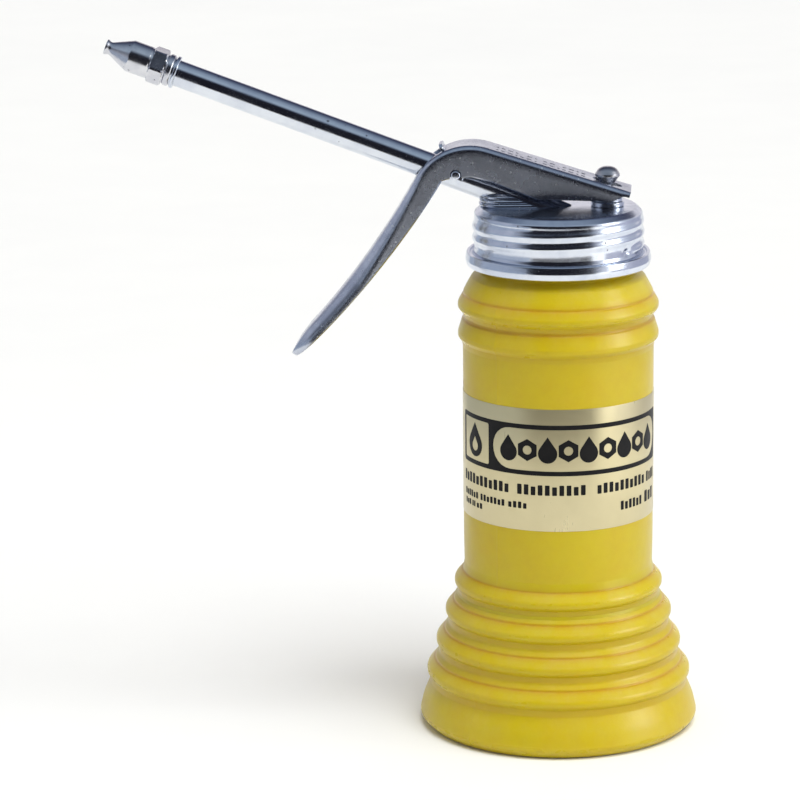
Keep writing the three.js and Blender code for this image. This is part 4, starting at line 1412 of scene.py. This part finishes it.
@dataclass
class Lever:
    """The squeeze lever: a pressed channel that runs from the grip over a crown to the plunger."""

    pivot: tuple[float, float] = (-24.05, 135.91)
    half: float = 6.0
    sheet: float = 1.2
    arm_slope: float = 17.1
    arm_end: float = 41.4
    crown: tuple[float, float] = (3.35, -7.6)
    crown_radius: float = 14.6
    grip_slope: float = 61.0
    grip_end: tuple[float, float] = (-38.6, -40.4)
    tip: tuple[float, float] = (-39.6, -45.4)
    corner: float = 1.5
    rod_x: float = 35.75
    rod_slot: tuple[float, float] = (7.0, 4.0)
    dish: float = 0.3
    dish_width: float = 3.9
    dish_reach: float = 15.75
    notch: float = 1.4
    spout_slope: float = 20.3
    spout_room: float = 3.625
    spout_below: float = 1.1
    turn: float = 12.0
    tab_half: float = 3.1
    tab_sheet: float = 0.8
    strokes: tuple[float, float] = (9.5, 30.5)
    stroke_rows: tuple[Point, Point] = ((-2.9, -0.9), (0.3, 2.3))

    def place(self) -> Matrix:
        """The lever's own frame, with its origin at the pivot."""
        return Matrix.Translation((self.pivot[0], 0, self.pivot[1]))

    def arm_top(self, x: float) -> float:
        """The height of the arm's top over the pivot."""
        tx, tz = polar(self.crown, self.crown_radius, 90 - self.arm_slope)
        return tz - (x - tx) * math.tan(math.radians(self.arm_slope))

    def web(self) -> list[Point]:
        """The web's outside, from the tip of the grip over the crown to the end of the arm.

        Returns:
            Its points.
        """
        left = polar(self.crown, self.crown_radius, 90 + self.grip_slope)
        handle = polar(left, -17, self.grip_slope)
        grip = bezier(self.grip_end, polar(self.grip_end, 14, 45), handle, left, 60)
        foot = (self.tip[0] - 0.5, self.tip[1] + 1.0)
        start = bezier(foot, polar(foot, 1.8, 72), polar(grip[7], -2.2, 48), grip[7], 14)
        sweep = self.grip_slope + self.arm_slope
        turns = [90 + self.grip_slope - sweep * k / 50 for k in range(51)]
        crown = [polar(self.crown, self.crown_radius, turn) for turn in turns]
        return spaced([*start, *grip[8:-1], *crown, (self.arm_end, self.arm_top(self.arm_end))], 0.8)

    def edge(self) -> list[Point]:
        """The flanges' free edge, from the arm's end to the tip.

        Returns:
            Its points.
        """
        end = self.arm_end
        hook = (-3.3, -1.4)
        line = [
            (end, self.arm_top(end), 0), (end - 5.3, -6.7, 0.8), (end - 7.5, -6.07, 1.0), (19.2, -5.75, 2.0),
            (8.6, -1.6, 8.0), (3.8, -0.4, 3.0), (-1.4, -0.9, 0.5), (*hook, 0),
        ]
        rear = bezier(hook, polar(hook, -16, 60), polar(self.tip, 14, 38), self.tip, 40)
        return [*rounded(line, 5), *rear[1:], (self.tip[0] - 4, self.tip[1] - 3)]

    def depth(self, point: Point, inward: Point, edge: Sequence[Point]) -> float:
        """How deep the flange is at a point of the web.

        Args:
            point: the point on the web's outside.
            inward: the direction across the web.
            edge: the flanges' free edge.

        Returns:
            The distance to the free edge, never less than a little over the sheet.
        """
        far = 40.0
        best = far
        for (ax, az), (bx, bz) in zip(edge, edge[1:]):
            ex, ez = bx - ax, bz - az
            across = inward[0] * ez - inward[1] * ex
            if abs(across) < 1e-9:
                continue
            t = ((ax - point[0]) * ez - (az - point[1]) * ex) / across
            u = ((ax - point[0]) * inward[1] - (az - point[1]) * inward[0]) / across
            if -TINY <= u <= 1 + TINY and t > 0.2:
                best = min(best, t)
        return max(self.sheet + 0.06, best if best < far else 0.0)

    def section(self, half: float, depth: float, corner: float) -> list[Point]:
        """The channel's section, as points across and inward from the web's outside.

        Args:
            half: half its width.
            depth: how deep its flanges are.
            corner: the outer rounding between web and flange.

        Returns:
            A closed ring, always with the same number of points.
        """
        sheet = self.sheet
        corner = min(corner, 0.92 * depth, 0.9 * half)
        inner = max(half - sheet, 0.25 * half)
        room = depth - sheet
        inner_corner = min(max(corner - sheet, 0.3), 0.8 * room, 0.8 * inner)
        brim = min(0.28, 0.3 * room)
        right: list[Point] = [(inner, depth - brim), (inner + brim, depth)]
        right += [(half - brim, depth), (half, depth - brim)]
        wall = depth - brim - corner
        right += [(half, corner + wall * k / 5) for k in range(4, 0, -1) if depth > corner]
        arc = [math.pi / 2 * k / 9 for k in range(10)]
        right += [(half - corner + corner * math.cos(a), corner - corner * math.sin(a)) for a in arc]
        across = [((half - corner) * (1 - k / 7), 0.0) for k in range(1, 8)]
        outer = right + across + [(-y, d) for y, d in reversed(across[:-1])]
        outer += [(-y, d) for y, d in reversed(right)]
        turn = [math.pi / 2 * k / 5 for k in range(6)]
        side, low = inner - inner_corner, sheet + inner_corner
        bend = [(side + inner_corner * math.cos(a), low - inner_corner * math.sin(a)) for a in turn]
        under = [(side * (1 - k / 6), sheet) for k in range(1, 7)]
        inside = [(-y, d) for y, d in bend] + [(-y, d) for y, d in under]
        inside += [(y, d) for y, d in reversed(under[:-1])] + list(reversed(bend))
        return outer + inside

    def channel(self) -> bpy.types.Object:
        """The pressed channel, before it is cut.

        Returns:
            The piece.
        """
        web, edge = self.web(), self.edge()
        low = web[0][1]
        rows = []
        for i, point in enumerate(web):
            before, after = web[max(i - 1, 0)], web[min(i + 1, len(web) - 1)]
            run = Vector((after[0] - before[0], after[1] - before[1])).normalized()
            inward = (run.y, -run.x)
            rise = min(1.0, (point[1] - low + 0.35) / self.half)
            half = self.half * math.sqrt(max(0.0, 1 - (1 - rise) ** 2))
            corner = self.corner + 0.09 * max(0.0, -point[1]) if point[0] < 0 else self.corner
            near_rod = point[0] > self.rod_x - self.dish_reach
            row = []
            for y, d in self.section(half, self.depth(point, inward, edge), corner):
                dip = 0.0
                if near_rod and d <= self.sheet + 0.01 and abs(y) < self.half - corner:
                    dip = self.dish * bump(math.hypot(point[0] - self.rod_x, 1.3 * y), self.dish_width)
                row.append((point[0] + inward[0] * (d + dip), y, point[1] + inward[1] * (d + dip)))
            rows.append(row)
        return Shell().solid(rows).piece("lever_channel", self.place())

    def cutters(self) -> list[bpy.types.Object]:
        """The notch over the pins, the way for the spout and the slot for the plunger.

        Returns:
            The solids to take away.
        """
        r = self.notch
        round_top = [polar((0, 0), r, 15 * k) for k in range(1, 12)]
        arch = [(r, -5.0), (r, 0.0), *round_top, (-r, 0.0), (-r, -5.0)]
        reach, turn = 60.0, math.radians(self.turn)
        over, under = self.spout_room - self.spout_below, -self.spout_room - self.spout_below
        c, s = math.cos(turn), math.sin(turn)
        way = [(-reach, under), (reach, under), (reach * c - over * s, reach * s + over * c), (0, over)]
        way.append((-reach, over))
        sc, ss = math.cos(math.radians(self.spout_slope)), math.sin(math.radians(self.spout_slope))
        passage = [(-t * sc + d * ss, t * ss + d * sc) for t, d in way]
        length, width = self.rod_slot
        straight = (length - width) / 2
        ends = [polar((self.rod_x + straight, 0), width / 2, -90 + 12 * k) for k in range(16)]
        ends += [polar((self.rod_x - straight, 0), width / 2, 90 + 12 * k) for k in range(16)]
        slot = Shell().solid([[(x, y, z) for x, y in ends] for z in (-20.0, 20.0)])
        return [
            prism(arch, self.half + 1).piece("cut_notch", self.place()),
            prism(passage, self.spout_room).piece("cut_way", self.place()),
            slot.piece("cut_slot", self.place()),
        ]

    def tab(self) -> bpy.types.Object:
        """The tongue of the web that is bent out over the spout.

        Returns:
            The piece.
        """
        angle = 180 - self.spout_slope - self.turn
        start = polar(polar((0, 0), self.spout_room - self.spout_below, angle - 90), 3.6, angle)
        centre = [start, polar(start, 1.6, angle), polar(start, 2.7, angle - 3)]
        tip = polar(centre[-1], 1.2, angle - 42)
        line = spaced(rounded([(*centre[0], 0), (*centre[1], 0.5), (*centre[2], 0.9), (*tip, 0)], 5), 0.3)
        rows, thick, edge = [], self.tab_sheet, 0.15
        for i, point in enumerate(line):
            before, after = line[max(i - 1, 0)], line[min(i + 1, len(line) - 1)]
            run = Vector((after[0] - before[0], after[1] - before[1])).normalized()
            up = (run.y, -run.x)
            half = self.tab_half - 0.9 * max(0.0, (i - len(line) + 4) / 4)
            ring = [(-half, edge), (-half + edge, 0.0), (half - edge, 0.0), (half, edge)]
            ring += [(half, thick - edge), (half - edge, thick)]
            ring += [(-half + edge, thick), (-half, thick - edge)]
            rows.append([(point[0] + up[0] * d, y, point[1] + up[1] * d) for y, d in ring])
        return Shell().solid(rows).piece("lever_tab", self.place())

    def stamping(self) -> bpy.types.Object:
        """Two rows of plain raised strokes pressed along the arm's top.

        Returns:
            The piece.
        """
        slope = math.radians(self.arm_slope)
        steps = ((0.0, -0.2), (0.0, 0.02), (-0.12, 0.07))
        shell = Shell()
        at, end = self.strokes
        k = 0
        while at < end:
            wide = 0.55 + 0.35 * (k % 3)
            for low, high in self.stroke_rows if k % 5 != 4 else self.stroke_rows[:1]:
                rows = []
                for grow, lift in steps:
                    left, right, foot, top = at - grow, at + wide + grow, low - grow, high + grow
                    ring = ((left, foot), (right, foot), (right, top), (left, top))
                    over, up = lift * math.sin(slope), lift * math.cos(slope)
                    rows.append([(x + over, y, self.arm_top(x) + up) for x, y in ring])
                shell.solid(rows)
            at += wide + 0.6 + 0.9 * (k % 7 == 6)
            k += 1
        return shell.piece("lever_stamping", self.place(), sharp=50.0)

    def build(self) -> None:
        """Builds the lever's pieces."""
        material = STAMPED.material()
        channel = self.channel()
        cut(channel, self.cutters(), 32.0)
        mount(channel, Body.LEVER, Slot.LEVER, material, "trigger_lever")
        mount(self.tab(), Body.LEVER, Slot.LEVER, material)
        mount(self.stamping(), Body.LEVER, Slot.LEVER, material)


# ---------------------------------------------------------------- pump


@dataclass
class Pump:
    """The plunger and gland that show above the cap, and the works inside the bottle."""

    x: float = 11.7
    rod: float = 1.5
    tail: float = 1.2
    head: float = 2.95
    head_height: float = 2.48
    neck_height: float = 1.09
    step: float = 95.85
    gland_bore: float = 1.8
    gland_skirt_bore: float = 3.2
    gland_skirt: float = 0.25

    def place(self) -> Matrix:
        """The plunger's axis."""
        return Matrix.Translation((self.x, 0, 0))

    def plunger(self) -> None:
        """The rod with its mushroom head."""
        low, high = box_mm("plunger_rod")
        top, foot = high.z, low.z
        flare = top - self.head_height
        neck = flare - self.neck_height
        tail, rod, head = self.tail, self.rod, self.head
        line = [
            (0.0, foot, 0), (tail - 0.2, foot, 0), (tail, foot + 0.2, 0), (tail, self.step, 0),
            (rod, self.step + 0.3, 0), (rod, neck - 0.6, 0.8), (head - 0.25, flare, 0.15),
            (head, flare + 0.25, 0.2), (head - 0.02, flare + 0.75, 0.5), (head * 0.74, top - 0.5, 2.2),
            (head * 0.3, top, 2.0), (0.0, top, 0),
        ]
        shell = Shell().turned(spaced(rounded(line, 6), 2.0), 56)
        obj = shell.piece("plunger_stem", self.place())
        mount(obj, Body.PLUNGER, Slot.ROD, ROD_STEEL.material(), "plunger_rod")

    def gland(self) -> None:
        """The gland cap round the rod, with its skirt down on the cap."""
        low, high = box_mm("gland_nut")
        outer, foot, top = (high.x - low.x) / 2, low.z - self.gland_skirt, high.z
        inner, bore = self.gland_bore, self.gland_skirt_bore
        line = [
            (bore, foot, 0), (outer - 0.1, foot, 0.05), (outer, foot + 0.1, 0.05), (outer, top - 1.2, 0.3),
            (outer - 0.35, top - 0.9, 0.2), (outer - 0.35, top - 0.4, 0.3), (outer - 0.75, top, 0.2),
            (inner + 0.2, top, 0.1), (inner, top - 0.2, 0), (inner, top - 0.9, 0), (bore, top - 0.9, 0),
            (bore, foot, 0),
        ]
        shell = Shell().turned(spaced(rounded(line, 4), 0.5)[:-1], 72, closed=True)
        obj = shell.piece("gland_cap", self.place(), sharp=40.0)
        mount(obj, Body.HEAD, Slot.CAP, BRIGHT.material(), "gland_nut")

    def works(self) -> None:
        """Dresses the solids that stay as they are."""
        dressed = {
            BRASS: (
                "pump_block", "pump_barrel", "piston_washer", "piston_nut", "foot_valve_body",
                "ball_retainer", "inlet_strainer",
            ),
            RUBBER: ("cap_gasket", "gland_packing", "barrel_gasket"),
            LEATHER: ("piston_cup",),
            COIL: ("return_spring", "inlet_ball"),
            NYLON: ("pickup_tube",),
        }
        for finish, names in dressed.items():
            material = finish.material()
            for name in names:
                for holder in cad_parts[name].material_slots:
                    holder.material = material
                log.info("%s: dressed as %s", name, finish.name)

    def build(self) -> None:
        """Builds the plunger and gland and dresses the rest."""
        self.plunger()
        self.gland()
        self.works()


# ---------------------------------------------------------------- studio


@dataclass(frozen=True)
class Card:
    """A curved upright card that only reflections see; angles are degrees from the front."""

    name: str
    turn: float
    half: float
    reach: float
    height: float
    glow: Colour


@dataclass(frozen=True)
class Softbox:
    """One of the lights at the side."""

    name: str
    power: float
    glossy_only: bool


@dataclass
class Studio:
    """The pale floor, the lights, what the metal reflects and the camera."""

    azimuth: float = 4.5
    elevation: float = 13.7
    distance: float = 913.0
    target: tuple[float, float, float] = (-38.2518, 0.0, 79.713)
    roll: float = -0.5853
    lens: float = 169.875
    floor_half: float = 6000.0
    floor_drop: float = 0.05
    floor_colours: tuple[Colour, Colour] = ((0.93, 0.93, 0.93), (0.90, 0.90, 0.905))
    cards: tuple[Card, ...] = (
        Card("front_card", 7.0, 41.0, 490.0, 430.0, (0.012, 0.012, 0.018)),
        Card("left_card", -88.0, 52.0, 430.0, 190.0, (0.42, 0.48, 0.58)),
        Card("right_card", 105.0, 44.0, 430.0, 150.0, (0.46, 0.47, 0.58)),
    )
    strip: tuple[Point, Point] = ((172.0, -152.0), (214.0, -92.0))
    strip_height: float = 128.0
    strip_glow: Colour = (1.45, 1.45, 1.4)
    sun_power: float = 2.5
    sun_width: float = math.radians(42.0)
    sun_colour: Colour = (0.98, 1.0, 0.99)
    sun_from: tuple[float, float, float] = (0.24, -0.36, 0.90)
    softboxes: tuple[Softbox, ...] = (Softbox("softbox", 1.15, False), Softbox("softbox_gleam", 1.5, True))
    softbox_size: tuple[float, float] = (260.0, 460.0)
    softbox_place: tuple[float, float, float] = (620.0, -120.0, 290.0)
    softbox_aim: tuple[float, float, float] = (0.0, 0.0, 80.0)
    softbox_colour: Colour = (1.0, 1.0, 0.97)
    backdrop: Colour = (0.97, 0.97, 0.97)
    room: Colour = (0.41, 0.395, 0.38)
    side_walls: Colour = (0.50, 0.53, 0.62)
    ceiling: tuple[tuple[float, Colour], ...] = (
        (0.0, (0.012, 0.012, 0.018)), (0.21, (0.014, 0.016, 0.028)), (0.265, (0.25, 0.30, 0.38)),
        (0.31, (0.38, 0.46, 0.56)), (0.50, (0.25, 0.31, 0.40)), (0.64, (0.10, 0.125, 0.19)),
        (0.74, (0.045, 0.05, 0.095)), (0.84, (0.05, 0.05, 0.09)), (0.87, (0.84, 0.80, 0.84)),
        (1.0, (0.88, 0.85, 0.88)),
    )

    def floor(self) -> None:
        """A wide pale floor."""
        half = self.floor_half
        corners = ((-half, -half), (half, -half), (half, half), (-half, half))
        shell = Shell()
        shell.cap([(x, y, -self.floor_drop) for x, y in corners])
        obj = shell.piece("studio_floor")
        material, n, shader = new_material("pale_floor")
        patches = EFFECTS.place(n, Effect.MOTTLE, Scale=6.0, Contrast=0.3).outputs[0]
        pale, worn = (rgba(colour) for colour in self.floor_colours)
        n.tree.links.new(n.mix(patches, pale, worn), shader.inputs["Base Color"])
        shader.inputs["Roughness"].default_value = 0.8
        obj.data.materials.append(material)

    def hang_cards(self) -> None:
        """The dark front, the grey-blue sides and the bright strip that shape the metal's reflections."""
        for card in self.cards:
            turns = [math.radians(card.turn + card.half * (k / 12 - 1)) for k in range(25)]
            foot = [(card.reach * math.sin(a), -card.reach * math.cos(a)) for a in turns]
            shell = Shell()
            shell.grid([[(x, y, z) for x, y in foot] for z in (0.0, card.height)], around=False)
            self.reflect_only(shell.piece(card.name), card.glow)
        near, far = self.strip
        strip = Shell()
        strip.cap([(*near, 0.0), (*far, 0.0), (*far, self.strip_height), (*near, self.strip_height)])
        self.reflect_only(strip.piece("strip_card"), self.strip_glow)

    @staticmethod
    def reflect_only(obj: bpy.types.Object, glow: Colour) -> None:
        """Makes a card that only reflections see.

        Args:
            obj: the card.
            glow: the light that it gives.
        """
        material = bpy.data.materials.new(obj.name)
        material.use_nodes = True
        tree = material.node_tree
        tree.nodes.clear()
        light = tree.nodes.new("ShaderNodeEmission")
        light.inputs["Color"].default_value = rgba(glow)
        out = tree.nodes.new("ShaderNodeOutputMaterial")
        tree.links.new(light.outputs[0], out.inputs["Surface"])
        obj.data.materials.append(material)
        for kind in ("camera", "diffuse", "shadow", "transmission", "volume_scatter"):
            setattr(obj, "visible_" + kind, False)

    def lights(self) -> None:
        """A wide soft light from above that reflections miss, and a tall softbox at the right."""
        above = bpy.data.lights.new("above", "SUN")
        above.energy = self.sun_power
        above.angle = self.sun_width
        above.color = self.sun_colour
        obj = bpy.data.objects.new("above", above)
        obj.rotation_euler = Vector(self.sun_from).to_track_quat("Z", "Y").to_euler()
        obj.visible_glossy = False
        bpy.context.scene.collection.objects.link(obj)
        place, aim = Vector(self.softbox_place), Vector(self.softbox_aim)
        for box in self.softboxes:
            side = bpy.data.lights.new(box.name, "AREA")
            side.shape = "RECTANGLE"
            side.size, side.size_y = (length * MM for length in self.softbox_size)
            side.energy = box.power
            side.color = self.softbox_colour
            obj = bpy.data.objects.new(box.name, side)
            obj.location = place * MM
            obj.rotation_euler = (place - aim).to_track_quat("Z", "Y").to_euler()
            obj.visible_diffuse = not box.glossy_only
            bpy.context.scene.collection.objects.link(obj)

    def world(self) -> None:
        """A white room for the camera, a warm grey one for matt surfaces, a banded one for reflections."""
        world = bpy.data.worlds.new("studio")
        bpy.context.scene.world = world
        world.use_nodes = True
        tree = world.node_tree
        tree.nodes.clear()
        n = Nodes(tree)
        way = n.add("SeparateXYZ", {0: n.add("TexCoord").outputs["Generated"]})
        arc = n.math("ARCTAN2", way.outputs["Z"], n.math("MULTIPLY", way.outputs["Y"], -1.0))
        ramp = n.add("ValToRGB", {0: n.math("DIVIDE", arc, math.pi)})
        first, last = ramp.color_ramp.elements
        first.color = rgba(self.ceiling[0][1])
        last.position = self.ceiling[-1][0]
        last.color = rgba(self.ceiling[-1][1])
        for at, colour in self.ceiling[1:-1]:
            ramp.color_ramp.elements.new(at).color = rgba(colour)
        side = n.step(n.math("ABSOLUTE", way.outputs["X"]), 0.6, 0.9)
        mirrored = n.mix(side, ramp.outputs["Color"], rgba(self.side_walls))
        rays = n.add("LightPath").outputs
        seen = n.mix(rays["Is Glossy Ray"], rgba(self.room), mirrored)
        seen = n.mix(rays["Is Camera Ray"], seen, rgba(self.backdrop))
        light = n.add("Background", {"Color": seen, "Strength": 1.0})
        out = n.add("OutputWorld")
        tree.links.new(light.outputs[0], out.inputs["Surface"])

    def camera(self) -> None:
        """The camera, which looks down a little from the right of the lever's plane."""
        a, e, q = (math.radians(v) for v in (self.azimuth, self.elevation, self.roll))
        back = Vector((math.sin(a) * math.cos(e), -math.cos(a) * math.cos(e), math.sin(e)))
        level = Vector((math.cos(a), math.sin(a), 0))
        over = back.cross(level)
        right = level * math.cos(q) + over * math.sin(q)
        up = over * math.cos(q) - level * math.sin(q)
        data = bpy.data.cameras.new("camera")
        data.lens = self.lens
        data.sensor_width = 36.0
        data.clip_start = 0.05
        data.clip_end = 50.0
        obj = bpy.data.objects.new("camera", data)
        turn = Matrix((right, up, back)).transposed().to_4x4()
        obj.matrix_world = Matrix.Translation((Vector(self.target) + back * self.distance) * MM) @ turn
        bpy.context.scene.collection.objects.link(obj)
        bpy.context.scene.camera = obj

    def build(self) -> None:
        """Builds the studio."""
        bpy.context.scene.view_settings.view_transform = "Standard"
        self.floor()
        self.hang_cards()
        self.lights()
        self.world()
        self.camera()


def main() -> None:
    """Builds the oiler from the bottle up, then the studio."""
    logging.basicConfig(level=logging.INFO, format="%(name)s %(message)s")
    Bottle().build()
    Label().build()
    ScrewCap().build()
    Spout().build()
    Lever().build()
    Pump().build()
    Studio().build()


if __name__ == "__main__":
    main()
